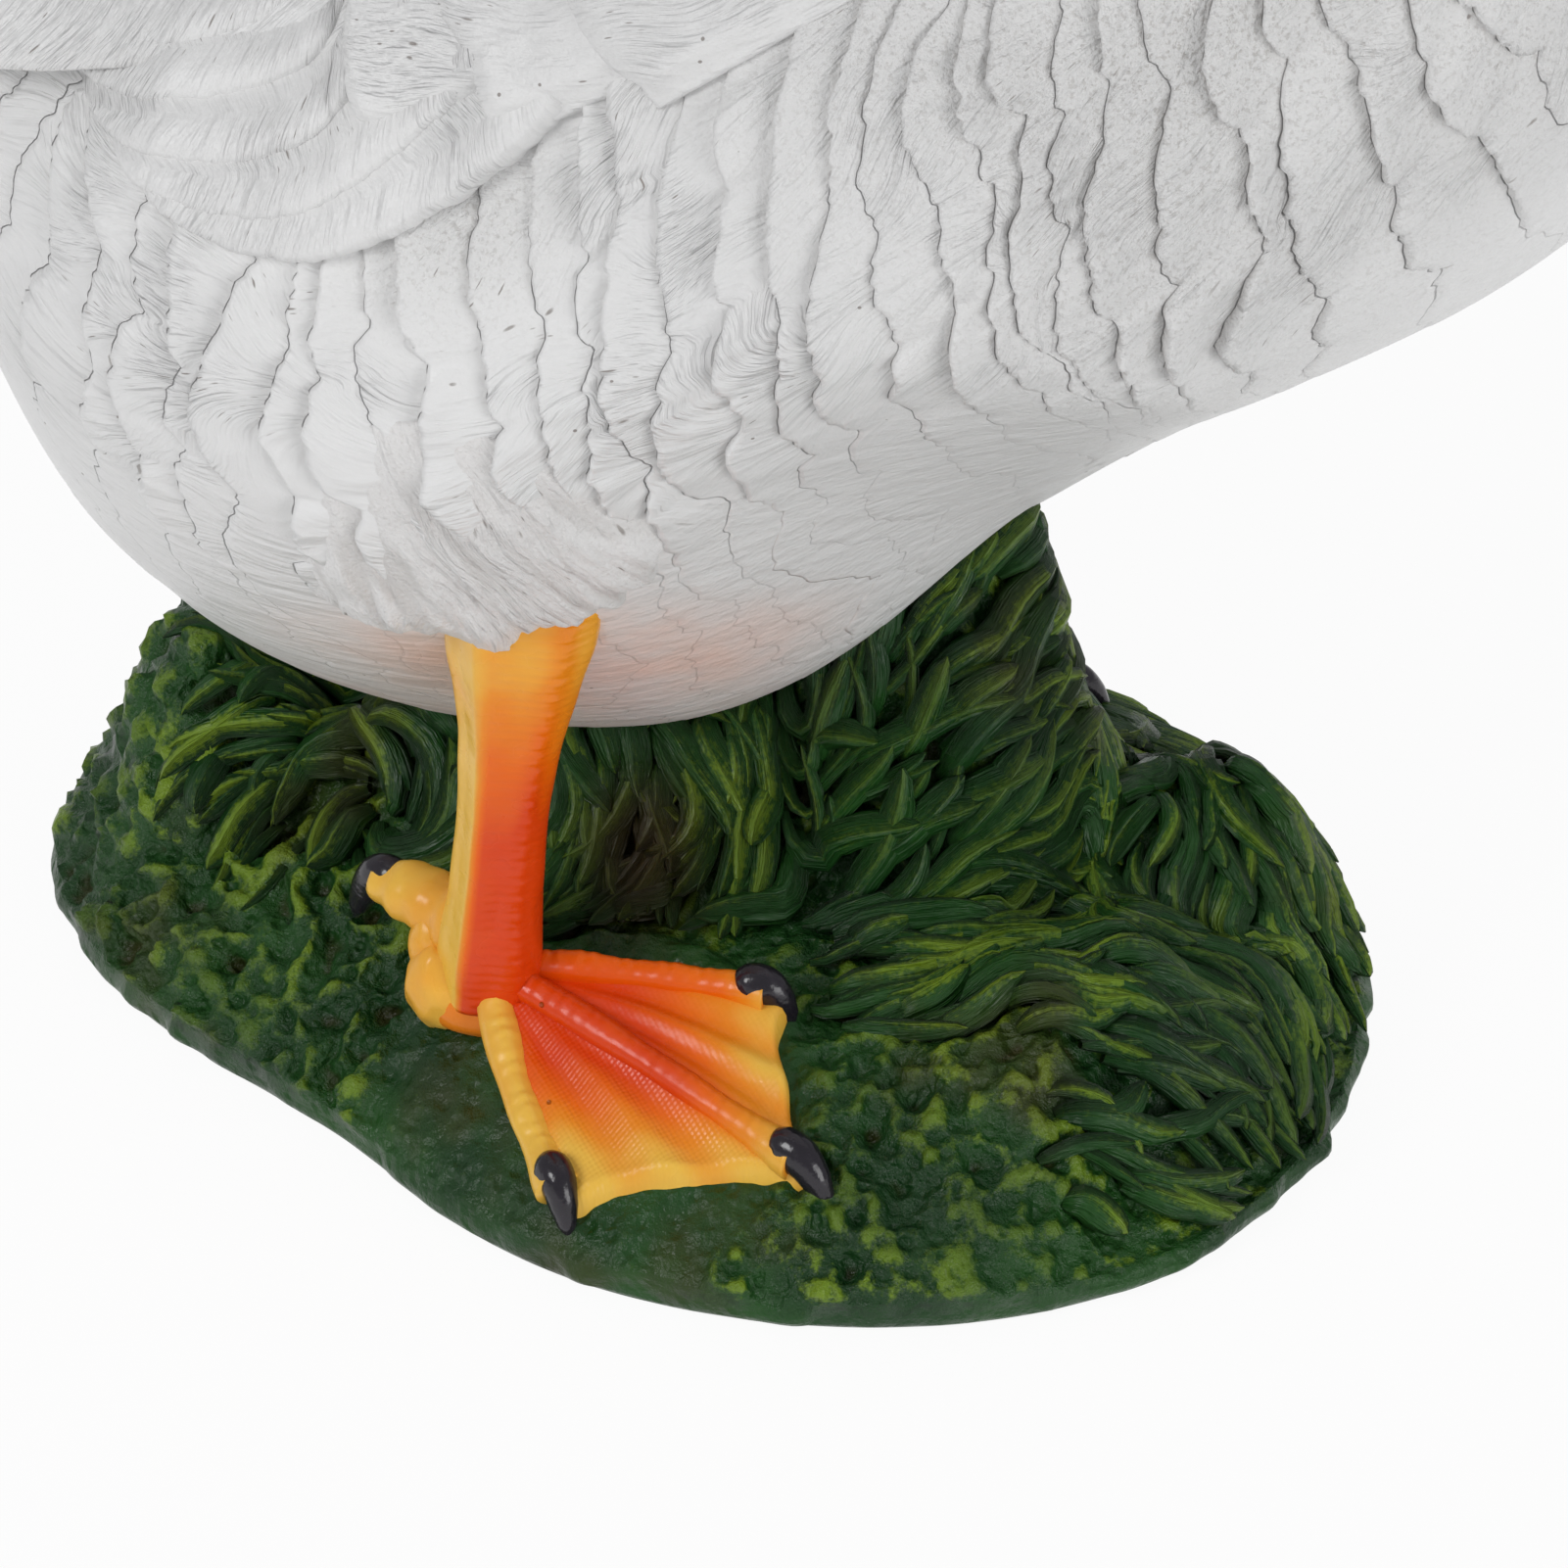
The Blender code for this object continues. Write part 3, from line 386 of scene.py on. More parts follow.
class Paint:
    """A procedural material built from nodes, which keeps the name of a colour slot."""

    def __init__(self, name, colour, slot=None):
        self.slot = slot
        self.material = bpy.data.materials.new(name)
        self.material.use_nodes = True
        self.material.diffuse_color = (*colour, 1.0)
        self.tree = self.material.node_tree
        self.shader = self.tree.nodes["Principled BSDF"]
        self.set("Base Color", colour)

    def set(self, name, value):
        self.put(self.shader.inputs[name], value)

    def put(self, socket, value):
        if isinstance(value, Signal):
            self.tree.links.new(value.socket, socket)
        elif isinstance(value, tuple) and len(value) == 3 and socket.type == "RGBA":
            socket.default_value = (*value, 1.0)
        else:
            socket.default_value = value

    def node(self, kind, inputs=(), **settings):
        node = self.tree.nodes.new(kind)
        for key, value in settings.items():
            setattr(node, key, value)
        for key, value in dict(inputs).items():
            self.put(node.inputs[key], value)
        return node

    def signal(self, kind, inputs=(), output=0, **settings):
        return Signal(self, self.node(kind, inputs, **settings).outputs[output])

    def math(self, operation, a, b=0.0, clamp=False):
        return self.signal("ShaderNodeMath", {0: a, 1: b}, operation=operation, use_clamp=clamp)

    def vector(self, operation, a, b):
        return self.signal("ShaderNodeVectorMath", {0: a, 1: b}, operation=operation)

    def mix(self, share, a, b):
        return self.signal("ShaderNodeMix", {0: share, 6: a, 7: b}, 2, data_type="RGBA")

    def step(self, value, low, high):
        """0 at low, 1 at high, smooth between; it falls where low is the larger."""
        return self.signal("ShaderNodeMapRange", {0: value, 1: low, 2: high, 3: 0.0, 4: 1.0},
                           interpolation_type="SMOOTHSTEP")

    def ramp(self, value, first, last, start=0.3, end=0.7):
        """Straight from first to last while value goes from start to end."""
        return self.signal("ShaderNodeMapRange", {0: value, 1: start, 2: end, 3: first, 4: last})

    def attribute(self, name, output="Fac"):
        return self.signal("ShaderNodeAttribute", output=output, attribute_name=name)

    def place(self):
        return self.signal("ShaderNodeTexCoord", output="Object")

    def noise(self, vector, scale=1.0, detail=2.0, rough=0.5):
        inputs = {"Vector": vector, "Scale": scale, "Detail": detail, "Roughness": rough}
        return self.signal("ShaderNodeTexNoise", inputs)

    def cells(self, vector, scale=1.0, channel=0):
        """Distance from the middle of a random cell, and a number drawn for the cell."""
        node = self.node("ShaderNodeTexVoronoi", {"Vector": vector, "Scale": scale})
        colour = Signal(self, node.outputs["Color"])
        drawn = self.signal("ShaderNodeSeparateColor", {0: colour}, channel)
        return Signal(self, node.outputs["Distance"]), drawn

    def bump(self, height, distance, strength=1.0):
        inputs = {"Height": height, "Distance": distance, "Strength": strength}
        self.set("Normal", self.signal("ShaderNodeBump", inputs))


def white_paint():
    p = Paint("white_plumage", (0.80, 0.795, 0.78), "white_plumage_paint")
    carve = p.attribute("carve", "Vector")
    cavity_shade_and_wash, blush, wash, carved = (p.attribute(name) for name in ("cavity_shade_and_wash", "blush", "wash", "carved"))
    place = p.place()
    # Directions of the tool strokes wander from patch to patch
    wander = p.vector("SUBTRACT", p.noise(place, 42.0, 1.0), (0.5, 0.5, 0.5))
    bent = p.vector("ADD", carve, p.vector("MULTIPLY", wander, (14.0, 0.0, 0.0)))
    patch = p.step(p.noise(place, 52.0), 0.44, 0.62) * carved
    streak = p.noise(p.vector("MULTIPLY", bent, (1.25, 0.17, 3.1)), 1.0, 2.5, 0.55)
    broad = p.noise(p.vector("MULTIPLY", bent, (0.30, 0.09, 1.7)))
    soft = p.noise(p.vector("MULTIPLY", place, (430.0, 55.0, 300.0)), 1.0, 3.0, 0.6)
    fine = p.noise(place, 1700.0, 3.0, 0.65)

    # Gouges of two sizes in some zones, and pinholes of the casting, both darkened with painted shade
    gouges = None
    for scale, limit in (((0.60, 0.15, 1.3), 0.15), ((1.20, 0.26, 2.1), 0.16)):
        distance, drawn = p.cells(p.vector("MULTIPLY", bent, scale))
        gouge = p.step(distance, limit, limit * 0.45) * p.step(drawn, 0.38, 0.42)
        gouges = gouge if gouges is None else p.math("MAXIMUM", gouges, gouge)
    gouges = gouges * (p.step(p.noise(place, 68.0), 0.52, 0.60) * carved)
    distance, drawn = p.cells(place, 230.0, 1)
    pinholes = p.step(distance, 0.060, 0.04) * p.step(drawn, 0.88, 0.91)
    pit_shade = p.math("ADD", gouges, pinholes, True)

    # White, then painted shade in the crevices and under the feather tips, with grey-brown wash in them where
    # the wash lies; the wash and its specks; orange blush; wash and painted shade in the hollows of the
    # strokes; painted shade in the gouges and pinholes
    tone = p.noise(place, 26.0, 3.0, 0.6)
    colour = p.mix(p.step(tone, 0.3, 0.7), (0.800, 0.797, 0.792), (0.750, 0.747, 0.743))
    # Painted shade in the crevices, deepened by the grey-brown wash where it lies
    colour = p.mix(cavity_shade_and_wash * (wash * 0.34 + 0.15), colour, (0.36, 0.33, 0.30))
    speck = p.step(fine, 0.53, 0.64)
    colour = p.mix(wash * (speck * 0.58 + 0.16), colour, (0.43, 0.405, 0.38))
    cloud = p.step(p.noise(place, 60.0, 3.0, 0.65), 0.30, 0.72)
    colour = p.mix(blush * (cloud * 0.36 + 0.16), colour, (0.90, 0.50, 0.36))
    # Wash and painted shade in the low parts of the tool strokes
    stroke_hollow_shade_and_wash = p.step(streak, 0.40, 0.22) * patch
    colour = p.mix(stroke_hollow_shade_and_wash * (wash * 0.30 + 0.08), colour, (0.42, 0.40, 0.37))
    # Painted shade in the gouges and pinholes
    p.set("Base Color", p.mix(pit_shade * 0.82, colour, (0.20, 0.17, 0.15)))
    p.set("Roughness", p.ramp(tone, 0.32, 0.44) + wash * 0.14)

    crisp = carved * 0.95 + 0.02
    height = streak * (patch * 0.95 + 0.30) * crisp + broad * crisp * 1.3 + soft * (1.05 - carved) * 0.75
    p.bump(height + fine * (wash * 0.75 + 0.07), 0.0008)
    return p


def orange_paint():
    p = Paint("leg_orange", (0.85, 0.20, 0.03), "orange_leg_paint")
    knit = p.attribute("carve", "Vector")
    place = p.place()
    cloud = p.noise(place, 70.0, 3.0, 0.6)
    fade = p.node("ShaderNodeValToRGB", {0: p.attribute("tone") + (cloud - 0.5) * 0.42})
    stops = fade.color_ramp.elements
    for number, position, colour in ((0, 0.05, (0.72, 0.055, 0.002)), (1, 0.98, (0.88, 0.52, 0.070))):
        stops[number].position = position
        stops[number].color = (*colour, 1.0)
    for position, colour in ((0.42, (0.84, 0.145, 0.002)), (0.72, (0.86, 0.27, 0.012))):
        stops.new(position).color = (*colour, 1.0)

    thread = 0.75
    threads = [p.signal("ShaderNodeSeparateXYZ", {0: knit}, k) * (2 * math.pi / thread) for k in (0, 1)]
    cloth = p.math("SINE", threads[0]) * p.math("SINE", threads[1]) * p.attribute("weave")
    fine = p.noise(place, 1100.0, 2.0, 0.6)
    lumps = p.noise(place, 260.0)
    distance, drawn = p.cells(place, 260.0, 1)
    # Small pits, sunk by the bump and darkened with painted shade
    pit = p.step(distance, 0.10, 0.05) * p.step(drawn, 0.80, 0.83)
    p.set("Base Color", p.mix(pit * 0.7, Signal(p, fade.outputs[0]), (0.25, 0.06, 0.01)))
    p.set("Roughness", p.ramp(lumps, 0.22, 0.36))
    p.set("Specular IOR Level", 0.36)
    p.bump(cloth * 0.06 + fine * 0.10 + lumps * 0.55 - pit * 0.8, 0.0004, 0.8)
    return p


def green_paint():
    p = Paint("grass_green", (0.012, 0.055, 0.010), "grass_green_paint")
    crest, cavity_shade_and_wash, calm, combed = (p.attribute(name) for name in ("crest", "cavity_shade_and_wash", "calm", "combed"))
    carve = p.attribute("carve", "Vector")
    place = p.place()
    lumps = p.noise(place, 420.0, 4.0, 0.62)
    crumb = p.step(p.cells(place, 430.0)[0], 0.06, 0.50)
    moss = lumps * 0.95 + crumb * 0.40
    striae = p.noise(p.vector("MULTIPLY", carve, (1.9, 0.10, 1.0)), 1.0, 3.0, 0.6)
    rough = striae * combed + moss * (1.0 - combed)

    # Deep green, dry-brushed yellow-green on what stands up, with brown patches, and dark brown painted shade
    # in the pits of the moss, under each lock and, with brown wash, in the hollow by the near leg
    cloud = p.noise(place, 55.0, 3.0, 0.6)
    colour = p.mix(p.step(cloud, 0.32, 0.68), (0.007, 0.038, 0.008), (0.016, 0.074, 0.012))
    dry = (p.noise(place, 1500.0, 3.0, 0.7) - 0.5) * 0.85
    peak = crest * 0.85 + dry + p.math("MINIMUM", rough, 0.95) * 0.56
    patch = p.step(p.noise(place, 30.0), 0.36, 0.60)
    brush = p.step(peak, 0.62, 1.05) * (patch * 0.66 + 0.30) * (1.0 - calm * 0.65)
    colour = p.mix(brush, colour, (0.165, 0.265, 0.016))
    soil = p.step(p.noise(place, 38.0, 3.0, 0.6), 0.54, 0.72)
    colour = p.mix(soil * 0.42, colour, (0.062, 0.040, 0.008))
    # Painted shade in the hollows and under the locks, with brown wash by the near leg
    p.set("Base Color", p.mix(p.step(cavity_shade_and_wash, 0.15, 0.90) * 0.88, colour, (0.034, 0.018, 0.004)))
    p.set("Roughness", p.ramp(lumps, 0.26, 0.46))
    p.set("Specular IOR Level", 0.30)
    p.bump(rough * (1.0 - calm * 0.45), 0.0013)
    return p


def black_paint():
    p = Paint("claw_black", (0.012, 0.010, 0.014), "black_claw_paint")
    cloud = p.noise(p.place(), 420.0, 3.0, 0.6)
    p.set("Base Color", p.mix(cloud, (0.006, 0.005, 0.008), (0.022, 0.017, 0.026)))
    p.set("Roughness", p.ramp(cloud, 0.12, 0.26, 0.0, 1.0))
    p.bump(cloud, 0.0003, 0.5)
    return p


WHITE, ORANGE, GREEN, BLACK = white_paint(), orange_paint(), green_paint(), black_paint()


# Meshes

def piece(name, points, faces, paint, values):
    """A mesh object in the row's frame that rides on the statue and stands for its solid."""
    mesh = bpy.data.meshes.new(name)
    points = np.asarray(points, float).reshape(-1, 3) - CENTRE
    mesh.from_pydata(points.tolist(), [], faces)
    mesh.validate()
    mesh.polygons.foreach_set("use_smooth", [True] * len(mesh.polygons))
    if paint is WHITE:
        values = {"carved": 1.0, **values}
    for key, data in values.items():
        data = np.full(len(points), data) if np.ndim(data) == 0 else data
        kind = "FLOAT_VECTOR" if data.ndim == 2 else "FLOAT"
        layer = mesh.attributes.new(key, kind, "POINT")
        layer.data.foreach_set("vector" if kind == "FLOAT_VECTOR" else "value", data.ravel())
    mesh.materials.append(paint.material)
    thing = bpy.data.objects.new(name, mesh)
    bpy.context.scene.collection.objects.link(thing)
    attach(thing, "root")
    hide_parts("goose_statue")


def grid_faces(rows, columns, wrap):
    """Quads of a grid of points, wrapped across its columns or not."""
    i = np.arange(rows - 1)[:, None]
    j = np.arange(columns if wrap else columns - 1)[None, :]
    k = (j + 1) % columns
    a, b = i * columns + j, i * columns + k
    return np.stack((a, b, b + columns, a + columns), -1).reshape(-1, 4).tolist()


def turned(faces, flip):
    return [tuple(reversed(f)) for f in faces] if flip else faces


def listed(data):
    """The values of a grid as one list."""
    return data.reshape(-1, 3) if data.ndim == 3 else data.ravel()


def closed_piece(name, points, paint, values=None, flip=False):
    """Piece from rings of points, with a fan over each open end."""
    rows, columns = points.shape[:2]
    flat = points.reshape(-1, 3)
    last = (rows - 1) * columns
    centres = np.array([flat[:columns].mean(0), flat[last:].mean(0)])
    first_centre = rows * columns
    faces = grid_faces(rows, columns, True)
    faces += [(first_centre, (j + 1) % columns, j) for j in range(columns)]
    faces += [(first_centre + 1, last + j, last + (j + 1) % columns) for j in range(columns)]
    data = {}
    for key, value in (values or {}).items():
        if np.ndim(value):
            value = listed(value)
            value = np.concatenate((value, [value.mean(0)] * 2))
        data[key] = value
    piece(name, np.vstack((flat, centres)), turned(faces, flip), paint, data)


def plate_piece(name, upper, lower, paint, values, flip=None):
    """Piece from a grid of points whose rim goes down to the rim of a lower grid."""
    rows, columns = upper.shape[:2]
    size = rows * columns
    loop = list(range(columns)) + [i * columns + columns - 1 for i in range(1, rows)]
    loop += [(rows - 1) * columns + j for j in range(columns - 2, -1, -1)]
    loop += [i * columns for i in range(rows - 2, 0, -1)]
    points = np.vstack((upper.reshape(-1, 3), lower.reshape(-1, 3)[loop]))
    faces = grid_faces(rows, columns, False)
    for k, a in enumerate(loop):
        m = (k + 1) % len(loop)
        faces.append((loop[m], a, size + k, size + m))
    data = {}
    for key, value in values.items():
        if np.ndim(value):
            value = listed(value)
            value = np.concatenate((value, value[loop]))
        data[key] = value
    if flip is None:
        flip = faces_out(points, faces) < 0
    piece(name, points, turned(faces, flip), paint, data)


def faces_out(points, faces):
    """Sign that tells whether a plate's faces look away from the body's middle line."""
    quad = np.array(faces[:400])
    a, b, c = points[quad[:, 0]], points[quad[:, 1]], points[quad[:, 2]]
    normal = np.cross(b - a, c - a).sum(0)
    middle = np.array((0.0, float(points[:, 1].mean()), 0.110))
    return float(normal @ (points.mean(0) - middle))


def tube(path, wide, tall, normal, segments, shape=None):
    """Rings of points round a path; shape may add a lift from ring share and angle."""
    tangent = np.gradient(path, axis=0)
    tangent /= np.linalg.norm(tangent, axis=1)[:, None]
    side = np.cross(tangent, normal)
    side /= np.linalg.norm(side, axis=1)[:, None]
    up = np.cross(side, tangent)
    t = circle(segments)
    a = wide[:, None] * np.sin(t)
    b = tall[:, None] * np.cos(t)
    if shape is not None:
        share = np.linspace(0, 1, len(path))[:, None]
        lift = 1 + shape(share, t[None, :])
        a, b = a * lift, b * lift
    return path[:, None, :] + a[..., None] * side[:, None, :] + b[..., None] * up[:, None, :]


def running_mean(values, reach):
    window = 2 * reach + 1
    return np.convolve(np.pad(values, reach, "edge"), np.ones(window) / window, "valid")


# Plumage

def blush_of(points):
    """Airbrushed orange round the legs and along the belly's lowest part."""
    out = np.zeros(points.shape[:2])
    x, y, z = points[..., 0], points[..., 1], points[..., 2]
    for side, word, shift in LEGS:
        leg_x = side * (HIP_SIDE - 0.006)
        leg_y = -(HIP_FORWARD + shift[1] * 0.4) - 0.003
        d = np.sqrt(((x - leg_x) / 1.2) ** 2 + ((y - leg_y) / 1.35) ** 2 + ((z - 0.060) / 0.75) ** 2)
        out = np.maximum(out, smooth(0.0300 - d, 0.0, 0.020))
    low = smooth(0.058 - z, 0.0, 0.020)
    return np.clip(np.maximum(out * 0.95, low * 0.55), 0, 1)


def degrees_from_back(t):
    return np.degrees(np.abs(np.arctan2(np.sin(t), np.cos(t))))


def calm_of(s, t):
    """How much carving is left: full on the flanks, almost none under the belly and at the rear."""
    edge = (112.0 + 26.0 * smooth(s, 0.125, 0.165) + 26.0 * smooth(s, 0.185, 0.215)
            + 12 * smooth(s, 0.05, 0.02))
    soft = smooth(degrees_from_back(t), edge - 14, edge + 12)
    return 1 - 0.93 * soft


def lean_of(s):
    return float(0.85 * (1 - smooth(s, 0.185, 0.265)) * smooth(s, 0.02, 0.06))


def row_base(row, t):
    """Rows stand in planes across the way the goose faces, bent into long arcs."""
    s = 0.012 + row * ROW_PITCH
    pitch = np.interp(s, BODY[:, 0], BODY_PITCH)
    up, down = (np.interp(s, BODY[:, 0], BODY[:, k]) for k in (4, 5))
    rise = np.where(np.cos(t) > 0, up, down) * np.cos(t)
    lean = math.tan(min(max(float(pitch), -0.3), 0.80)) * lean_of(s)
    return s + lean * rise + 0.0075 * np.cos(t) ** 2


class Feathers:
    """Rows of carved feathers: the line of each row's tips and how far each feather stands up."""

    def __init__(self, t, first, last):
        around = t * ARC * 1000
        total = 2 * math.pi * ARC * 1000
        self.lines, self.height, self.place, self.ident, self.half = [], [], [], [], []
        for row in range(first, last + 1):
            rng = np.random.RandomState(100 + row)
            edges = [rng.rand() * 9]
            while edges[-1] < total - 12:
                edges.append(edges[-1] + 11 + 24 * rng.rand() ** 1.2)
            if total - edges[-1] < 9:
                edges.pop()
            edges = np.array(edges)
            number = (np.searchsorted(edges, around, side="right") - 1) % len(edges)
            nexts = np.append(edges[1:], edges[0] + total)
            middle, half = (edges + nexts) / 2, (nexts - edges) / 2
            local = (around - middle[number] + total / 2) % total - total / 2
            v = np.clip(local / half[number], -1, 1)
            deep = np.clip(0.20 * half, 1.2, 3.0) * (0.5 + 0.9 * rng.rand(len(edges)))
            slide = (rng.rand(len(edges)) - 0.5) * 1.5
            skew = (rng.rand(len(edges)) - 0.5) * 2.6
            arc = (1 - np.abs(v) ** 2.0) ** 0.85
            offset = -deep[number] * arc + slide[number] * (1 - v ** 6) + skew[number] * v * (1 - v ** 4)
            ragged = sway(around / 1.05, row, 0.0, 2) * 0.95 + sway(around / 3.1, row, 3.0, 7) * 1.3
            wave = sway(np.cos(t) * 3.1, np.sin(t) * 3.1, row * 0.35, 1) * 9.0
            line = row_base(row, t) + (offset + ragged + wave) / 1000
            if self.lines:
                line = np.maximum(line, self.lines[-1] + 0.0011)
            tall = 0.30 + 1.05 * rng.rand(len(edges))
            self.lines.append(line)
            self.height.append(tall[number] * (0.22 + 0.78 * (1 - v ** 4)))
            self.place.append(v)
            self.half.append(half[number])
            self.ident.append(np.full_like(t, (row * 7.31) % 97.0))


# Rings of one row of feathers, as shares of the way from its tips to the next row
RINGS = (0.0, 0.10, 0.28, 0.48, 0.68, 0.86)
GROOVE_DEPTH = 0.00010


def plumage(t, first, last, relief, start, end):
    """Rings along the body; each row of feathers stands up at its tips and sinks under the next."""
    rows = Feathers(t, first, last)
    s_rings, lifts, cavities, carve = [], [], [], []
    around = t * ARC * 1000
    zero = np.zeros_like(t)

    def add(s, lift, cavity_shade_and_wash, index, share):
        along = (s - rows.lines[index]) * 1000
        fan = around + 0.24 * share * rows.half[index] * np.sin(math.pi * rows.place[index])
        fan = fan + np.clip(along, -8, 8) * sway(np.cos(t) * 5, np.sin(t) * 5, index * 0.4, 15) * 2.4
        s_rings.append(s + zero)
        lifts.append(lift)
        cavities.append(cavity_shade_and_wash)
        carve.append(np.stack((fan, along, rows.ident[index]), -1))

    for s in start:
        add(s, zero, zero, 0, 0.0)
    for k in range(last - first):
        line, following = rows.lines[k], rows.lines[k + 1]
        gap = following - line
        calm = calm_of(line, t)
        size = relief * rows.height[k] * calm * np.clip(gap / (0.55 * ROW_PITCH), 0.15, 1.25)
        worn = smooth(noise(np.cos(t) * 6, np.sin(t) * 6, (first + k) * 0.8, 16), 0.18, 0.5)
        size = size * (0.25 + 0.75 * worn)
        # Painted shadow at the foot of each row's tips, stronger where the tips stand higher
        shadow = smooth(size, 0.0003, 0.0012)
        step = np.minimum(0.00014, gap * 0.06)
        foot = -GROOVE_DEPTH * calm
        add(line - step, foot, shadow, k, 0.0)
        for a in RINGS:
            stroke = sway(around + 5.4 * rows.place[k] * a, a * 1.3, rows.ident[k], 4)
            stroke = stroke * smooth(noise(around / 13.0, (first + k) * 0.6, 0.0, 17), 0.35, 0.7)
            edge = 0.86 if a == 0 else 1.0
            lift = size * (1 - a) ** 1.15 * edge + 0.00050 * stroke * calm * (1 - 0.5 * a)
            add(line + step + (gap - 2 * step) * a * 0.97, lift, zero, k, a)
        add(following - 2.2 * step, foot, 0.5 * shadow, k, 1.0)
    for s in end:
        add(s, zero, zero, last - first - 1, 1.0)
    s = np.array(s_rings)
    around_all = np.broadcast_to(t, s.shape)
    swell = sway(around_all * 4.0, s * 70.0, 0.0, 5)
    lift = np.array(lifts) + 0.0009 * swell * calm_of(s, around_all)
    values = {"carve": np.array(carve), "cavity_shade_and_wash": np.array(cavities)}
    return s, around_all, body_point(s, around_all, lift), values


def side_columns():
    """Angles round the body, closer together on the goose's right side."""
    left = np.linspace(0, math.pi, int(math.pi * ARC / COARSE_COLUMN), endpoint=False)
    right = np.linspace(math.pi, 2 * math.pi, int(math.pi * ARC / FINE_COLUMN), endpoint=False)
    return np.concatenate((left, right))


def body_pieces():
    columns = side_columns()
    for name, t, (first, last) in (("goose_body_rear", columns, REAR_ROWS),
                                   ("goose_body_front", columns, FRONT_ROWS),
                                   ("goose_neck", circle(NECK_COLUMNS), NECK_ROWS)):
        start = (0.0, 0.0010, 0.0020) if first == 0 else ()
        edge = row_base(last, t)
        if name == "goose_neck":
            relief = ROW_RELIEF * HEAD_RELIEF_SHARE
            top = float(edge.max()) + 0.006
            end = [*np.linspace(top, BODY_LENGTH - 0.0005, HEAD_RINGS), BODY_LENGTH]
        else:
            relief = ROW_RELIEF
            end = [edge + 0.004, edge + 0.008]
        s, tt, points, values = plumage(t, first, last, relief, start, end)
        if name != "goose_neck":
            # The last rings sink below the next stretch of the body
            points[-2] = body_point(s[-2], t, -0.0006)
            points[-1] = body_point(s[-1], t, -0.0025)
        away = degrees_from_back(tt)
        wash = smooth(s, 0.120, 0.175) * (1 - smooth(s, 0.30, 0.36)) * (1 - 0.75 * smooth(away, 118, 150))
        # A rough grey patch shows below the front of the wing
        wash = wash + 0.9 * bell(s, 0.098, 0.016) * bell(away, 62, 14)
        wash = wash * np.clip(0.35 + 0.95 * noise(tt * 3, s * 40, 0.0, 6), 0, 1)
        values.update(wash=np.clip(wash, 0, 1), blush=blush_of(points), carved=calm_of(s, tt))
        closed_piece(name, points, WHITE, values, True)


def laid_piece(name, side, s, angle, top, under, values):
    """White plate on the body, from places along it and angles in degrees from the back."""
    s, angle, top = np.broadcast_arrays(s, angle, top)
    t = side * np.radians(angle)
    plate_piece(name, body_point(s, t, top), body_point(s, t, under), WHITE, values)


def wing_feather(side, word, number):
    """One long feather laid on the body, its lower edge proud of the one below."""
    rows, columns = FEATHER_GRID
    tip_s, tip_angle, root_s, root_angle, width = WING_FEATHERS[number]
    a = np.linspace(0, 1, rows)[:, None] ** 1.15
    b = np.linspace(-1, 1, columns)[None, :]
    b = np.sign(b) * np.abs(b) ** 0.8
    ds, dt = root_s - tip_s, math.radians(root_angle - tip_angle) * BEND_RADIUS
    length = math.hypot(ds, dt)
    half = 1.04 * width * np.interp(a, (0, 0.02, 0.06, 0.12, 0.22, 0.36, 0.7, 1.0),
                                    (0.10, 0.36, 0.62, 0.82, 0.95, 1.0, 0.98, 0.90))
    run = a * length * 1000
    nick = sway(run / 1.15, number, 0.0, 9) * 0.00050 * smooth(-b, 0.55, 0.95)
    over = half * b + nick
    bow = 0.0016 * np.sin(math.pi * a)
    s = tip_s + ds * a + (dt / length) * over
    turn = np.degrees(((ds / length) * over - bow) / BEND_RADIUS)
    angle = tip_angle + (root_angle - tip_angle) * a - turn

    low = (1 - b) / 2
    crown = np.sqrt(np.clip(1 - np.abs(b) ** 5, 0, 1))
    top = WING_LIFT + WING_STEP * number + WING_CROWN * (low ** 1.2 * 1.15 - 0.05)
    top = top * (0.42 + 0.58 * crown) * np.interp(a, (0, 0.015, 0.05, 1), (0.50, 0.85, 1.0, 0.97))
    across = half * b * 1000
    slant = run + np.abs(across + 2.4) * 0.75
    barb = sway(slant / 0.62, number * 1.7, across / 9.0, 8)
    worn = smooth(noise(run / 9.0, across / 5.0, number, 18), 0.25, 0.6)
    shaft = 0.00030 * bell(b, 0.45, 0.06) * (1 - 0.5 * a)
    top = top + 0.00028 * barb * (0.3 + 0.7 * worn) * crown + shaft
    carve = np.stack((slant, across * 1.2, np.full_like(slant, number * 3.0)), -1)
    # Painted shade along the upper edge, under the proud lower edge of the next feather
    cavity_shade_and_wash = smooth(b, 0.45, 0.95) * 2.0 * np.ones_like(a)
    laid_piece(f"wing_feather_{word}_{number + 1}", side, s, angle, top, FEATHER_SUNK,
               {"carve": carve, "cavity_shade_and_wash": cavity_shade_and_wash, "wash": 0.10})


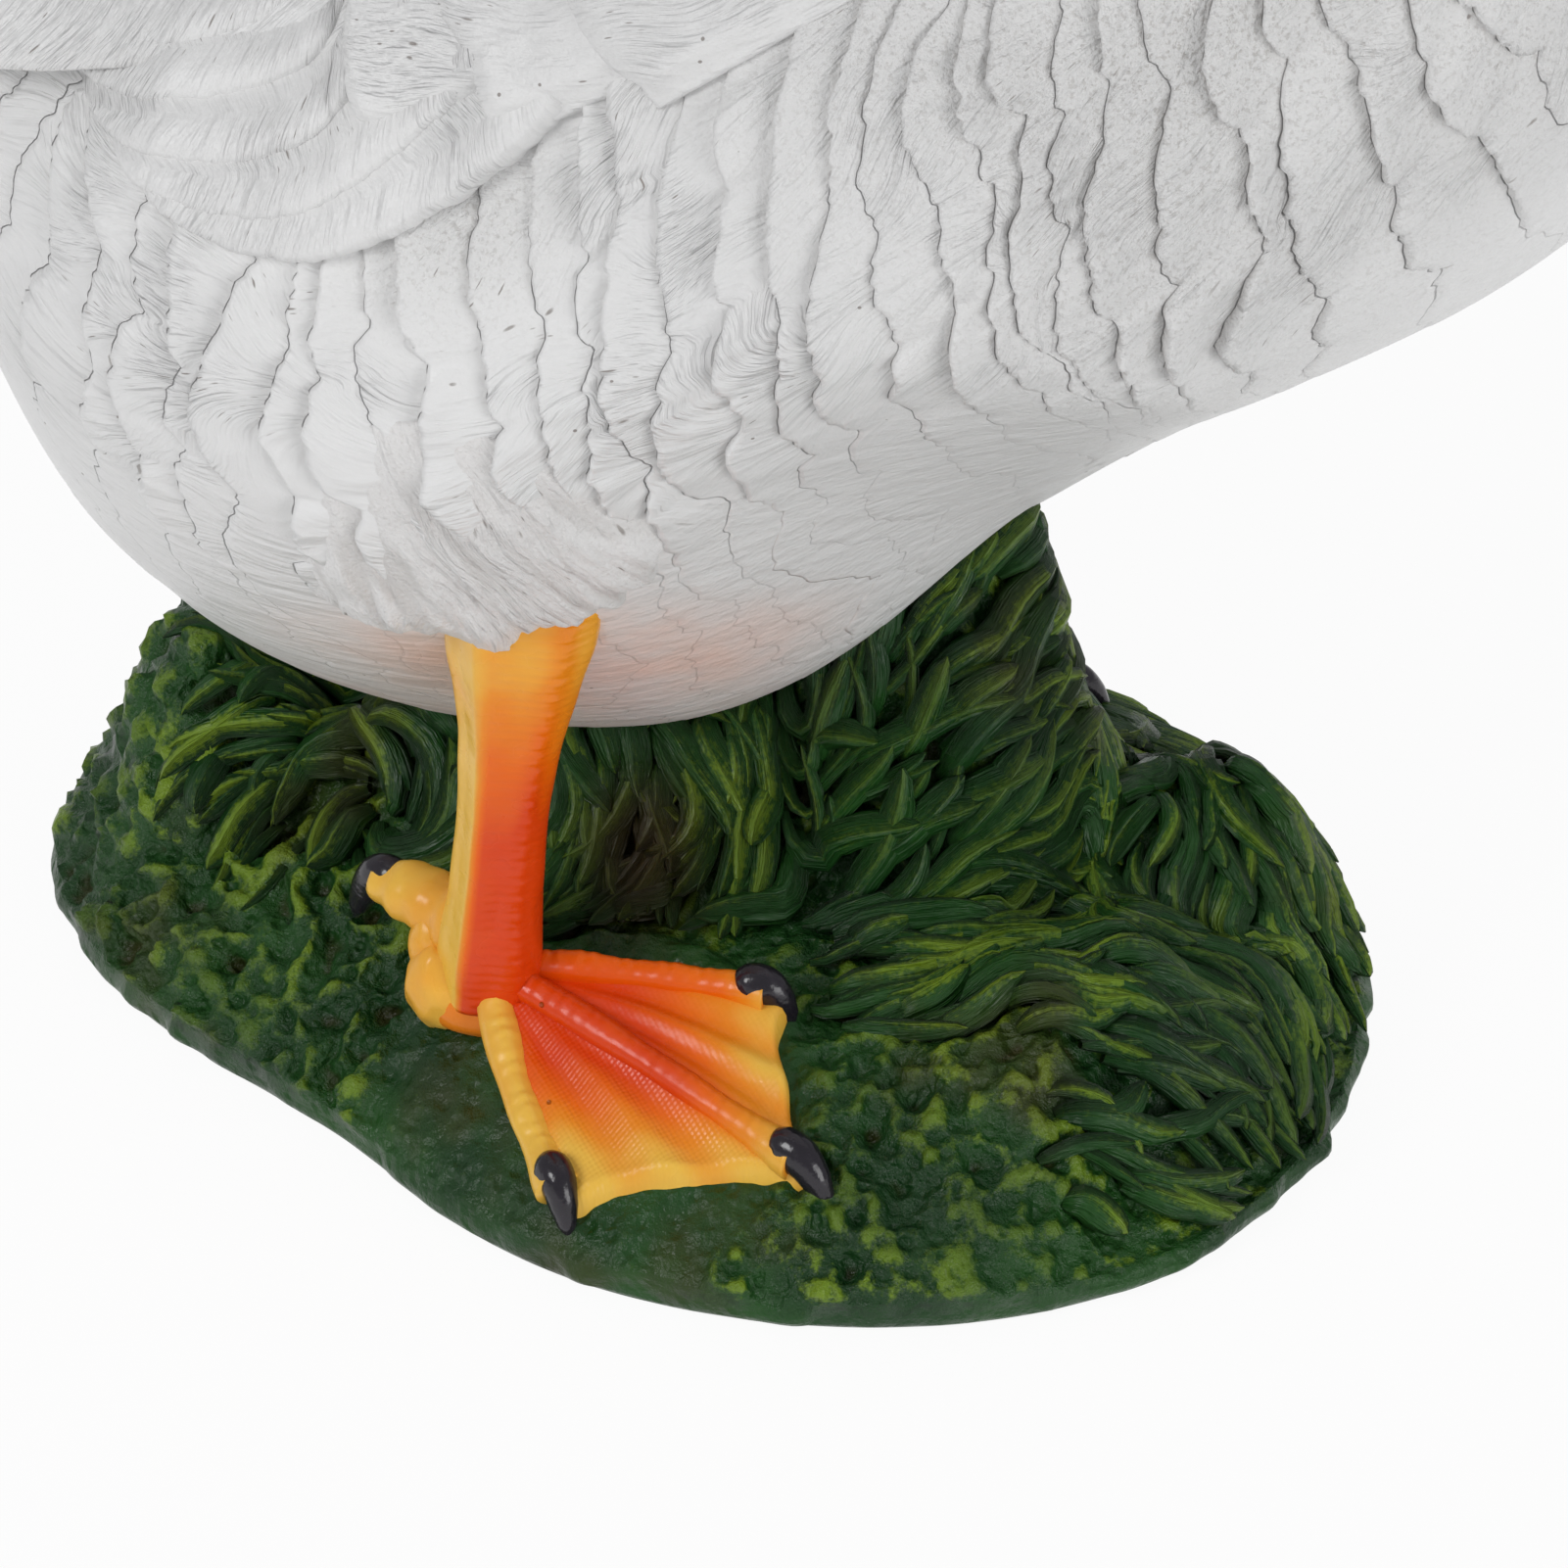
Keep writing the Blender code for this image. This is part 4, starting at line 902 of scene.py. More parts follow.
def covert_row(side, word, row):
    """One row of coverts with scalloped tips, from the flank up to the back."""
    rows, columns = COVERT_GRID
    last = row == COVERT_ROWS - 1
    low = COVERT_LOW + COVERT_LOW_STEP * row
    angle = np.linspace(low, COVERT_TOP, columns)[None, :]
    across = np.radians(low - angle) * BEND_RADIUS
    scallop = np.abs(np.sin(across * math.pi / COVERT_SPAN + row * 1.3)) ** 0.6 * COVERT_SCALLOP
    across = across * 1000
    ragged = sway(across / 1.3, row, 0.0, 12) * 0.0007
    start = COVERT_START + COVERT_PITCH * row - (low - angle) / 50.0 * COVERT_LEAN
    tips = start - scallop + ragged
    a = (np.linspace(0, 1, rows) ** 1.4)[:, None]
    s = tips + (start + COVERT_LENGTH - tips) * a

    # Each row ends under the next one; the last fades into the body
    fall = (0.45, 0.80, 1.0, 0.60, 0.0) if last else (0.45, 0.80, 1.0, 0.85, 0.55)
    fall = np.interp(a, (0, 0.02, 0.10, 0.45, 1.0), fall)
    rim = 0.35 + 0.65 * smooth(low - angle, 0.0, 3.2)
    along = (s - tips) * 1000
    slant = across + along * 0.25
    worn = smooth(noise(across / 7.0, along / 9.0, row, 19), 0.40, 0.75)
    top = (COVERT_LIFT - 0.0005 * row) * rim * fall + 0.00034 * sway(slant, along / 8.0, row, 13) * worn
    carve = np.stack((slant, along, np.full_like(along, 50.0 + row)), -1)
    # Painted shade where the row ends under the next one
    cavity_shade_and_wash = 0.0 if last else smooth(a, 0.6, 1.0) * 1.5 * np.ones_like(along)
    laid_piece(f"wing_coverts_{word}_{row + 1}", side, s, angle, top, PLATE_SUNK,
               {"carve": carve, "cavity_shade_and_wash": cavity_shade_and_wash, "wash": 0.12})


def wings():
    for side, word, shift in LEGS:
        for number in range(len(WING_FEATHERS)):
            wing_feather(side, word, number)
        for row in range(COVERT_ROWS):
            covert_row(side, word, row)
        for k in range(FLIGHT_COUNT):
            share = k / (FLIGHT_COUNT - 1)
            root = body_point(PRIMARY_ROOT, side * math.radians(44 - 29 * share), 0.0020)
            tip = (side * (0.0290 - 0.0190 * share), 0.0980 + 0.0250 * share, 0.1335 + 0.0130 * share)
            normal = (side * (0.60 - 0.45 * share), 0.10, 0.80 + 0.20 * share)
            blade(f"primary_{word}_{k + 1}", root, tip, normal, FLIGHT_WIDTH, FLIGHT_THICKNESS,
                  FLIGHT_SAG * share)


def hems():
    """Ragged edge of the belly feathers over the top of each leg."""
    rows, columns = HEM_GRID
    u = np.linspace(-1, 1, columns)[None, :]
    v = (np.linspace(0, 1, rows) ** 1.3)[:, None]
    for side, word, shift in LEGS:
        jag = noise(u * 3.0, side, 0.0, 21) * 4.5 + noise(u * 9.0, side, 1.0, 22) * 2.6
        jag = jag + noise(u * 24.0, side, 1.0, 26) * 1.2
        low = HEM_ANGLE + 1.0 - jag - 6.0 * np.abs(u) ** 2.4
        angle = low + (HEM_TOP + 8.0 * u ** 2 - low) * v
        s = HEM_CENTRE - shift[1] * 0.4 + HEM_HALF * u * (1 - 0.15 * v)
        s = s + 0.0010 * sway(u * 5, v * 6, side, 23)
        swell = smooth(1 - np.abs(u), 0.0, 0.35)
        tuft = sway(u * 13 + v * 2.0, v * 3.0, side, 25)
        fine = sway(u * 34 + v * 4.0, v * 5.0, side, 27)
        fall = np.interp(v, (0, 0.03, 0.12, 0.5, 1.0), (0.45, 0.85, 1.0, 0.45, 0.0))
        waves = np.abs(np.sin(s * 520 + 1.5 * v + 2 * noise(v * 4, u * 2, 0.0, 28)))
        ledge = 0.0007 * (1 - waves) * smooth(v, 0.1, 0.4) * (1 - v)
        top = HEM_LIFT * fall + (0.0011 * tuft + 0.0013 * fine) * (1 - v) + ledge
        top = top * swell - 0.0003 * (1 - swell)
        carve = np.stack((s * 1200, angle * 0.9, np.full_like(s, 70.0)), -1)
        # Painted shade in the hollows between the tufts
        cavity_shade_and_wash = 1.8 * smooth(-tuft, 0.05, 0.30) * (1 - v) * swell
        laid_piece(f"feather_hem_{word}", side, s, angle, top, PLATE_SUNK,
                   {"carve": carve, "cavity_shade_and_wash": cavity_shade_and_wash, "wash": 0.30, "blush": 0.06})


def blade(name, root, tip, normal, width, thickness, sag=0.0):
    """A free feather from root to tip, rounded at its end, with a shaft and barbs."""
    rows, columns = BLADE_GRID
    length = np.linalg.norm(np.subtract(tip, root))
    way = unit(np.subtract(tip, root))
    side = unit(np.cross(way, normal))
    up = np.cross(side, way)
    a = np.linspace(0, 1, rows)[:, None]
    t = circle(columns)[None, :]
    out, rise = np.sin(t), np.cos(t)
    rounded = np.sqrt(np.clip(1 - np.clip((a - 0.62) / 0.385, 0, 1) ** 2, 0, 1))
    half = 0.5 * width * np.maximum(np.minimum(1.0, 0.55 + 0.9 * a) * rounded, 0.05)
    across = half * np.sign(out) * np.abs(out) ** 0.85
    along = a * length * 1000 * np.ones_like(across)
    barb = sway((along - np.abs(out) * half * 900) / 1.1, np.sign(out) * 2, width, 31)
    lift = 0.5 * rise * thickness * (1 - 0.45 * a) + 0.0003 * barb * np.abs(rise)
    lift = lift + 0.0006 * bell(out, 0.0, 0.10) * np.sign(rise) * (1 - 0.5 * a)
    lift = lift - sag * np.sin(math.pi * a)
    points = root + a[..., None] * way * length + across[..., None] * side + lift[..., None] * up
    carve = np.stack((along - np.abs(across) * 900, across * 1500, np.full_like(along, width * 1000)), -1)
    # Painted shade along the side edges of the blade
    cavity_shade_and_wash = 0.5 * np.abs(out) ** 6 * np.ones_like(a)
    closed_piece(name, points, WHITE, {"carve": carve, "cavity_shade_and_wash": cavity_shade_and_wash, "wash": 0.10})


def tail():
    for k in range(TAIL_COUNT):
        share = 2 * k / (TAIL_COUNT - 1) - 1
        angle = 0.5 * TAIL_SPREAD * share
        length = TAIL_LENGTH * (1 - 0.12 * share ** 2)
        drop = 0.0040 * share ** 2 + 0.0006 * (k % 2)
        root = (0.016 * share, -TAIL_ROOT_FORWARD, TAIL_ROOT_HEIGHT - drop)
        tip = (root[0] + length * math.sin(angle),
               root[1] + length * math.cos(angle) * math.cos(TAIL_RISE),
               root[2] + length * math.sin(TAIL_RISE) - 2 * drop)
        normal = (0.35 * share, -math.sin(TAIL_RISE), math.cos(TAIL_RISE))
        blade(f"tail_feather_{k + 1}", root, tip, normal, TAIL_FEATHER_WIDTH, TAIL_FEATHER_THICKNESS)


# Head

def bill_half(name, stations, grid, tone, detail=None):
    """One half of the bill, lofted through its stations."""
    rings, segments = grid
    track = smooth_track(stations, 300)
    share = np.linspace(0, 1, rings)[:, None]
    t = circle(segments)[None, :]
    s = share * track[-1, 0]
    forward, height, half, up, down = (np.interp(s, track[:, 0], track[:, k]) for k in range(1, 6))
    rise = np.where(np.cos(t) > 0, up, down) * np.sign(np.cos(t)) * np.abs(np.cos(t)) ** 1.1
    x = half * np.sin(t)
    if detail is not None:
        extra = 1 + detail(share, t)
        x, rise = x * extra, rise * extra
    even = np.ones_like(x)
    closed_piece(name, np.stack((x, -forward * even, height + rise), -1), ORANGE,
                 {"tone": tone(share, t) * even})


def upper_bill(share, t):
    """Lamellae along the edge, the nail at the tip and a hollow at each nostril."""
    lamella = 0.035 * np.cos(2 * math.pi * share * 26) * bell(np.abs(np.sin(t)), 1, 0.10)
    nail = 0.06 * bell(share, 0.93, 0.05) * np.clip(np.cos(t), 0, 1)
    nostril = -0.16 * bell(share, 0.42, 0.07) * bell(np.cos(t), 0.62, 0.14)
    return lamella * np.clip((share - 0.3) * 4, 0, 1) + nail + nostril


def eye(side, word):
    s, t = BODY_LENGTH - EYE_BACK, side * EYE_ANGLE
    centre = body_point(s, t, EYE_PROUD - EYE_RADIUS)
    rows, columns = EYE_GRID
    angle = circle(columns)[None, :]
    a = np.linspace(0.02, math.pi - 0.02, rows)[:, None]
    r = EYE_RADIUS * np.sin(a)
    x = centre[0] - side * EYE_RADIUS * np.cos(a) * np.ones_like(angle)
    ball = np.stack((x, centre[1] + r * np.sin(angle), centre[2] + r * np.cos(angle)), -1)
    closed_piece(f"eye_{word}", ball, BLACK, flip=side < 0)

    rows, columns = EYE_RING_GRID
    surface = body_point(s, t, 0.0)
    ahead = unit(body_point(s + 0.001, t, 0.0) - surface)
    out = unit(body_point(s, t, 0.001) - surface)
    over = np.cross(out, ahead)
    u = np.linspace(0, 2 * math.pi, rows)
    path = surface + out * 0.0001 + np.outer(np.cos(u), ahead) * RING_LENGTH
    path = path + np.outer(np.sin(u), over) * RING_HEIGHT
    radial = np.outer(np.cos(u), ahead) + np.outer(np.sin(u), over)
    angle = circle(columns)[None, :, None]
    ring = path[:, None, :] + RING_THICKNESS * (np.cos(angle) * radial[:, None, :] + np.sin(angle) * out)
    piece(f"eye_ring_{word}", ring, turned(grid_faces(rows, columns, True), side > 0), ORANGE, {"tone": 0.55})


def head():
    bill_half("bill_upper", BILL_STATIONS, BILL_GRID, lambda a, t: 0.50 + 0.35 * np.cos(t) - 0.15 * a,
              upper_bill)
    bill_half("bill_lower", JAW_STATIONS, JAW_GRID, lambda a, t: 0.45 - 0.1 * a)
    for side, word, shift in LEGS:
        eye(side, word)


# Legs and feet

def ankle_of(side, shift):
    """Plan of the ankle and the height of the ground under it."""
    ankle = np.array((side * (ANKLE_SIDE + shift[0]), -(ANKLE_FORWARD + shift[1])))
    return ankle, float(ground(ankle[0], ankle[1]))


def orange_tube(name, rings, tone):
    closed_piece(name, rings, ORANGE, {"tone": np.clip(tone * np.ones(rings.shape[:2]), 0, 1)})


def shank(side, word, shift):
    rings, segments = SHANK_GRID
    ankle, ankle_z = ankle_of(side, shift)
    hip = np.array((side * (HIP_SIDE + shift[0] * 0.4), -(HIP_FORWARD + shift[1] * 0.4), HIP_HEIGHT))
    low = np.array((*ankle, ankle_z + 0.0025))
    fine = np.linspace(0, 1, rings)
    wide = running_mean(np.interp(fine, SHANK_SHARES, SHANK_WIDTHS), 6)
    tall = running_mean(np.interp(fine, SHANK_SHARES, SHANK_DEPTHS), 6)

    def from_ridge(angle):
        return np.arctan2(np.sin(angle - side * SHANK_RIDGE), np.cos(angle - side * SHANK_RIDGE)) * side

    def shape(share, angle):
        off = from_ridge(angle)
        ridge = 0.15 * np.exp(-np.abs(off) / 0.13) * smooth(share, 0.02, 0.12)
        flat = -0.07 * bell(off, -0.60, 0.30) - 0.06 * bell(off, 0.50, 0.26)
        front = smooth(off, -2.1, -1.2) * (1 - smooth(off, -0.35, -0.10))
        scute = 0.017 * np.sin(2 * math.pi * (share * 48 + 0.35 * np.sin(off * 2))) * front
        beads = 0.050 * bell(off, -1.15, 0.11) * (0.65 + 0.35 * np.sin(2 * math.pi * share * 26))
        lumps = 0.055 * sway(share * 12, np.cos(angle) * 2, np.sin(angle) * 2, 41)
        return ridge + flat + scute + beads + lumps

    points = tube(low + np.outer(fine, hip - low), wide, tall, (0.0, -1.0, 0.0), segments, shape)
    share = fine[:, None]
    off = from_ridge(circle(segments))[None, :]
    # Yellow on the rear plane and at the top, orange-red on the scuted front plane towards the ankle
    front = 1 - smooth(off, -0.22, 0.10)
    tone = 0.98 - front * (1 - smooth(share, 0.30, 0.92)) * 0.80 - front * 0.16
    tone = tone - 0.30 * bell(off, -1.15, 0.25) * (1 - 0.5 * share)
    tone = tone - 0.35 * smooth(0.16 - share, 0.0, 0.16) * front
    orange_tube(f"leg_{word}", points, tone)

    # Knobbly heel behind the ankle
    rows, columns = HEEL_GRID
    t = circle(columns)[None, :]
    a = np.linspace(0.05, math.pi - 0.05, rows)[:, None]
    for number, (dx, dy, dz, rx, ry, rz) in enumerate(HEEL_LUMPS):
        centre = np.array((ankle[0] + side * dx, ankle[1] + dy, ankle_z + dz))
        bump = 1 + 0.16 * sway(np.cos(t) * 2.5, np.sin(t) * 2.5, a * 2.2 + number * 5, 42)
        lump = np.stack((rx * np.sin(a) * np.cos(t) * bump, ry * np.sin(a) * np.sin(t) * bump,
                         rz * np.cos(a) * bump), -1)
        orange_tube(f"heel_{word}_{number + 1}", centre + lump, 0.94 if number < 2 else 0.62)


def claw(name, before, end, length, droop):
    """Claw that leaves the toe along its own direction and curves down."""
    rings, segments = CLAW_GRID
    way = unit(end - before)
    a = np.linspace(0, 1, rings)
    path = end - way * 0.0026 + np.outer(a, way * length * 1.04)
    path = path + np.outer(0.0013 * np.sin(math.pi * a) - droop * a ** 2.2, UPWARD)
    radius = CLAW_RADIUS * np.interp(a, (0, 0.05, 0.18, 0.45, 0.72, 0.90, 1.0),
                                     (0.55, 0.98, 1.10, 1.02, 0.80, 0.52, 0.10))
    closed_piece(name, tube(path, radius * 0.85, radius * 1.02, UPWARD, segments), BLACK)


def toe_line(side, shift, number, shares):
    """Plan of a toe's middle line, slightly bowed."""
    angle = TOE_ANGLES[number]
    heading = FOOT_TURN + angle
    way = np.array((side * math.sin(heading), -math.cos(heading)))
    bend = np.array((-way[1], way[0])) * math.sin(angle) * side * 0.0015
    line = np.outer(shares * TOE_LENGTHS[number], way) + np.outer(np.sin(math.pi * shares), bend)
    return ankle_of(side, shift)[0] + line


def toe(number, side, word, shift):
    name, length, slim = TOE_NAMES[number], TOE_LENGTHS[number], TOE_SLIMNESS[number]
    rings, segments = TOE_GRID
    shares = np.linspace(-0.04, 1, rings)
    plan = toe_line(side, shift, number, shares)
    knuckle = 1 + 0.06 * np.cos(2 * math.pi * 3 * shares)
    radius = (TOE_RADIUS + (TOE_TIP_RADIUS - TOE_RADIUS) * shares) * knuckle * slim
    radius = radius * np.interp(shares, (0, 0.75, 0.92, 1.0), (1, 1, 1.0 / slim ** 0.7, 0.98 / slim))
    height = ground(plan[:, 0], plan[:, 1]) + radius * 0.45 + 0.0013 + TOE_RISE * (1 - shares) ** 3
    path = np.column_stack((plan, running_mean(height, 5)))
    beads = length * 1000 / 1.25

    def shape(share, t):
        ridge = np.exp(-((1 - np.cos(t)) / 0.06))
        bead = 0.5 + 0.5 * np.sin(2 * math.pi * share * beads)
        scute = 0.030 * np.sin(2 * math.pi * share * beads * 0.7) * np.clip(np.cos(t), 0, 1) ** 1.2
        lump = 0.10 * sway(share * 9, np.cos(t) * 1.5, np.sin(t) * 1.5 + beads, 43)
        return 0.17 * ridge * (0.55 + 0.45 * bead) + scute + lump

    crest = np.clip(np.cos(circle(segments)), 0, 1)[None, :] ** 4
    a = shares[:, None]
    if name == "outer":
        tone = 0.86 + 0.12 * a + 0.06 * crest
    elif name == "middle":
        tone = 0.04 + 0.86 * smooth(a, 0.55, 0.98) + 0.06 * crest
    else:
        tone = 0.10 + 0.30 * a + 0.45 * smooth(a, 0.80, 1.0) + 0.10 * crest
    orange_tube(f"toe_{name}_{word}", tube(path, radius * 1.08, radius, UPWARD, segments, shape), tone)
    claw_length = CLAW_LENGTH * (0.98 if name == "middle" else 0.74)
    claw(f"claw_{name}_{word}", path[-11], path[-1], claw_length, CLAW_DROOP)


def web(first, side, word, shift):
    """Skin stretched between a toe and the next one, with a scalloped edge and soft folds."""
    rows, columns = WEB_GRID
    q = np.linspace(0, 1, rows)[:, None]
    p = np.linspace(0, 1, columns)[None, :]
    ripple = 0.012 * np.cos(4 * math.pi * p) + 0.010 * sway(p * 7, first, side, 44)
    reach = 0.04 + (WEB_REACH - WEB_SCALLOP * np.sin(math.pi * p) + ripple - 0.04) * q
    lines = [toe_line(side, shift, k, reach.ravel()).reshape(rows, columns, 2) for k in (first, first + 1)]
    plan = lines[0] * (1 - p[..., None]) + lines[1] * p[..., None]
    height = ground(plan[..., 0], plan[..., 1])
    span = np.sin(math.pi * p)
    wave = np.sin(2 * math.pi * (p * 2.5 + 0.15 * np.sin(4 * q))) * span
    fold = 0.00055 * wave * smooth(q, 0.1, 0.7)
    rim = 0.00045 * bell(q, 1, 0.05)
    neck = TOE_RISE * 0.9 * (1 - q) ** 3
    edge = np.sqrt(np.clip(1 - (np.clip((q - 0.955) / 0.045, 0, 1)) ** 2, 0, 1))
    lift = (WEB_THICKNESS + 0.0006 + fold + rim - 0.0004 * span) * (0.35 + 0.65 * edge) + neck
    upper, lower = (np.dstack((plan, z)) for z in (height + lift, height - 0.0030))

    # Red towards the ankle and the middle toe, yellow towards the edge
    middle_side = p if first == 0 else 1 - p
    tone = 0.06 + 0.86 * smooth(q, 0.30, 1.02) - 0.30 * middle_side ** 2 * (1 - smooth(q, 0.55, 1.0))
    tone = tone + (0.22 * smooth(p, 0.55, 1.0) if first == 1 else -0.12 * (1 - p) * (1 - q))
    tone = np.clip(tone + 0.10 * wave * q, 0, 1)
    carve = np.dstack((plan * 1000, 0 * height))
    plate_piece(f"web_{TOE_NAMES[first]}_{word}", upper, lower, ORANGE,
                {"tone": tone, "carve": carve, "weave": 1.0 if first == 1 else 0.30}, side < 0)


def hind_toe(side, word, shift):
    rings, segments = HALLUX_GRID
    ankle, ankle_z = ankle_of(side, shift)
    back = np.array((-side * HALLUX_TURN, 0.92, 0.0))
    root = np.array((*ankle, ankle_z + 0.0095))
    a = np.linspace(0, 1, rings)
    path = root + np.outer(a, back * HALLUX_LENGTH) + np.outer(0.0030 * a - 0.002 * a * a, UPWARD)
    radius = np.interp(a, (0, 0.30, 0.45, 0.60, 0.80, 1.0), (0.0044, 0.0040, 0.0034, 0.0037, 0.0033, 0.0026))
    radius = radius * (1 + 0.05 * np.cos(2 * math.pi * a * 4))

    def knobs(share, t):
        return 0.16 * sway(share * 5, np.cos(t) * 1.5, np.sin(t) * 1.5, 45)

    rings_of_points = tube(path, radius, radius, UPWARD, segments, knobs)
    orange_tube(f"hind_toe_{word}", rings_of_points, (0.86 + 0.12 * a)[:, None])
    claw(f"claw_hind_{word}", path[-6], path[-1], CLAW_LENGTH * 0.95, HIND_CLAW_DROOP)


# Mound

# Two directions in which the grass pattern is laid out: towards the head, and up and away over the mound
HEADWARD = np.array((0.26, -0.966, 0.0))
OVER = np.array((0.554, 0.149, 0.819))


def slope_of(x, y):
    """Height and upward normal of the ground."""
    d = 0.0004
    gx = (ground(x + d, y) - ground(x - d, y)) / (2 * d)
    gy = (ground(x, y + d) - ground(x, y - d)) / (2 * d)
    normal = np.stack((-gx, -gy, np.ones_like(gx)), -1)
    return ground(x, y), normal / np.linalg.norm(normal, axis=-1, keepdims=True)


def plan_of(points):
    """Place in the grass pattern, in millimetres headward and over."""
    return points @ HEADWARD * 1000, points @ OVER * 1000


def lock_heading(u, w):
    """Angle of the combed grass, from headward towards over: fans, hanging arcs and a whorl."""
    fan = np.degrees(np.arctan2(w + 4, u - 2)) - 6
    hanging = np.interp(w, (4, 12, 22, 32), (-128, -108, -86, -62))
    waves = np.interp(u, (20, 34, 46, 56, 66), (28, 20, 4, -42, -74)) + 16 * np.sin(u / 4.0)
    falling = -84 + 22 * np.sin(w / 4.5 + u / 7)
    whorl = np.degrees(np.arctan2(w - 21, u + 38)) + 62
    hang = (1 - smooth(u, 7, 12)) * (1 - smooth(w, 34, 42))
    angle = fan + (hanging - fan) * hang
    tuft = smooth(u, 40, 44) * smooth(w, 5, 9)
    angle = angle + (falling - angle) * tuft
    front = smooth(u, 14, 24) * (1 - smooth(w, 2, 8))
    angle = angle + (waves - angle) * front
    curl = 1 - smooth(u, -30, -24)
    drift = 60 * sway(u, w, 0.0, 62, 9.0)
    return np.radians(angle + (whorl - angle) * curl + drift)


def quiet(x, y):
    """Smooth ground close round the feet."""
    return smooth(near_foot(x, y), 0.93, 1.0)


def wildness(x, y, z):
    """1 where long grass is combed, 0 where the ground is mossy or calm."""
    u, w = plan_of(np.stack((x, y, z), -1))
    mossy = 1 - smooth(u, -26, -20)
    whorl = 1 - smooth(np.hypot((u + 42) / 1.25, w - 27), 9, 14)
    front = (1 - smooth(w, -8, 0)) * (1 - smooth(u, 30, 46))
    return (1 - np.maximum(mossy, front) * (1 - whorl)) * (1 - quiet(x, y))


def leg_hollow_wash_and_shade(points):
    """Brown wash and painted shade in the hollow between the near leg and the central clump."""
    u, w = plan_of(points)
    return bell(u, -8, 9) * bell(w, 16, 11)


def mound():
    """Mound with the pitted moss that the brush and tool left, lifted along its own normal."""
    rings, segments = MOUND_GRID
    spin = circle(segments)
    t = spin + 0.30 * np.sin(spin + 0.25)
    rim = rim_radius(t)
    rows, crests, cavities, calms = [], [], [], []

    def add(points, crest, cavity_shade_and_wash, calm):
        rows.append(points)
        crests.append(np.zeros_like(t) + crest)
        cavities.append(np.zeros_like(t) + cavity_shade_and_wash)
        calms.append(np.zeros_like(t) + calm)

    for share, z in ((0.970, 0.0), (0.984, 0.0001), (0.994, 0.0007), (0.998, 0.0014), (0.999, 0.0022)):
        x, y = rim * share * np.cos(t), rim * share * np.sin(t)
        bulge = 1 + 0.030 * sway(x, y, z, 57, 0.0040) * min(z / 0.001, 1.0)
        add(np.stack((x * bulge, y * bulge, np.full_like(t, z)), -1), 0.0, 0.10, 1.0)
    for share in np.linspace(0.995, 0.004, rings):
        x, y = rim * share * np.cos(t), rim * share * np.sin(t)
        z, normal = slope_of(x, y)
        calm = quiet(x, y)
        wild = wildness(x, y, z)
        rough = np.clip((1 - share) / 0.012, 0, 1) * (1 - 0.80 * calm)
        wx = x + 0.0022 * sway(x, y, z, 54, 0.006)
        wy = y + 0.0022 * sway(x, y, z, 55, 0.006)
        crag = 1 - np.abs(2 * noise(wx, wy, z, 52, 0.0038) - 1)
        moss = 0.45 * crag + 0.35 * noise(wx, wy, z, 53, 0.0021) + 0.20 * noise(x, y, z, 56, 0.0012)
        lift = rough * 0.0062 * (moss * (1 - 0.5 * wild) - 0.52) - 0.0006 * wild * rough
        points = np.stack((x, y, z), -1) + normal * lift[:, None]
        # Painted shade in the pits of the moss, and wash with painted shade in the hollow by the near leg
        pit_shade = 0.62 * (1 - smooth(moss, 0.30, 0.52)) * rough
        cavity_shade_and_wash = np.clip(0.95 * leg_hollow_wash_and_shade(points) + pit_shade, 0, 1)
        add(points, 0.95 * smooth(moss, 0.52, 0.90) * rough, cavity_shade_and_wash, calm)
    values = {"crest": np.array(crests), "cavity_shade_and_wash": np.array(cavities), "calm": np.array(calms)}
    closed_piece("grass_mound", np.array(rows), GREEN, values)


LOCKS = 1040
LOCK_TRIALS = 16000
LOCK_RINGS, LOCK_SIDES = 12, 6


def comb(x, y, pick):
    """Paths of locks that start at x, y and follow the combed directions, with their normals."""
    step = (0.0075 + 0.0150 * pick[2]) / (LOCK_RINGS - 1)
    turn = (pick[3] - 0.5) * 0.75
    curl = (pick[6] - 0.5) * 0.16
    path, normals = [], []
    for k in range(LOCK_RINGS):
        z, normal = slope_of(x, y)
        here = np.stack((x, y, z), -1)
        path.append(here)
        normals.append(normal)
        heading = lock_heading(*plan_of(here)) + turn + curl * k
        way = np.cos(heading)[:, None] * HEADWARD + np.sin(heading)[:, None] * OVER
        way = way - (way * normal).sum(-1, keepdims=True) * normal
        way /= np.linalg.norm(way, axis=-1, keepdims=True) + 1e-9
        x, y = x + way[:, 0] * step, y + way[:, 1] * step
    return np.array(path), np.array(normals), step


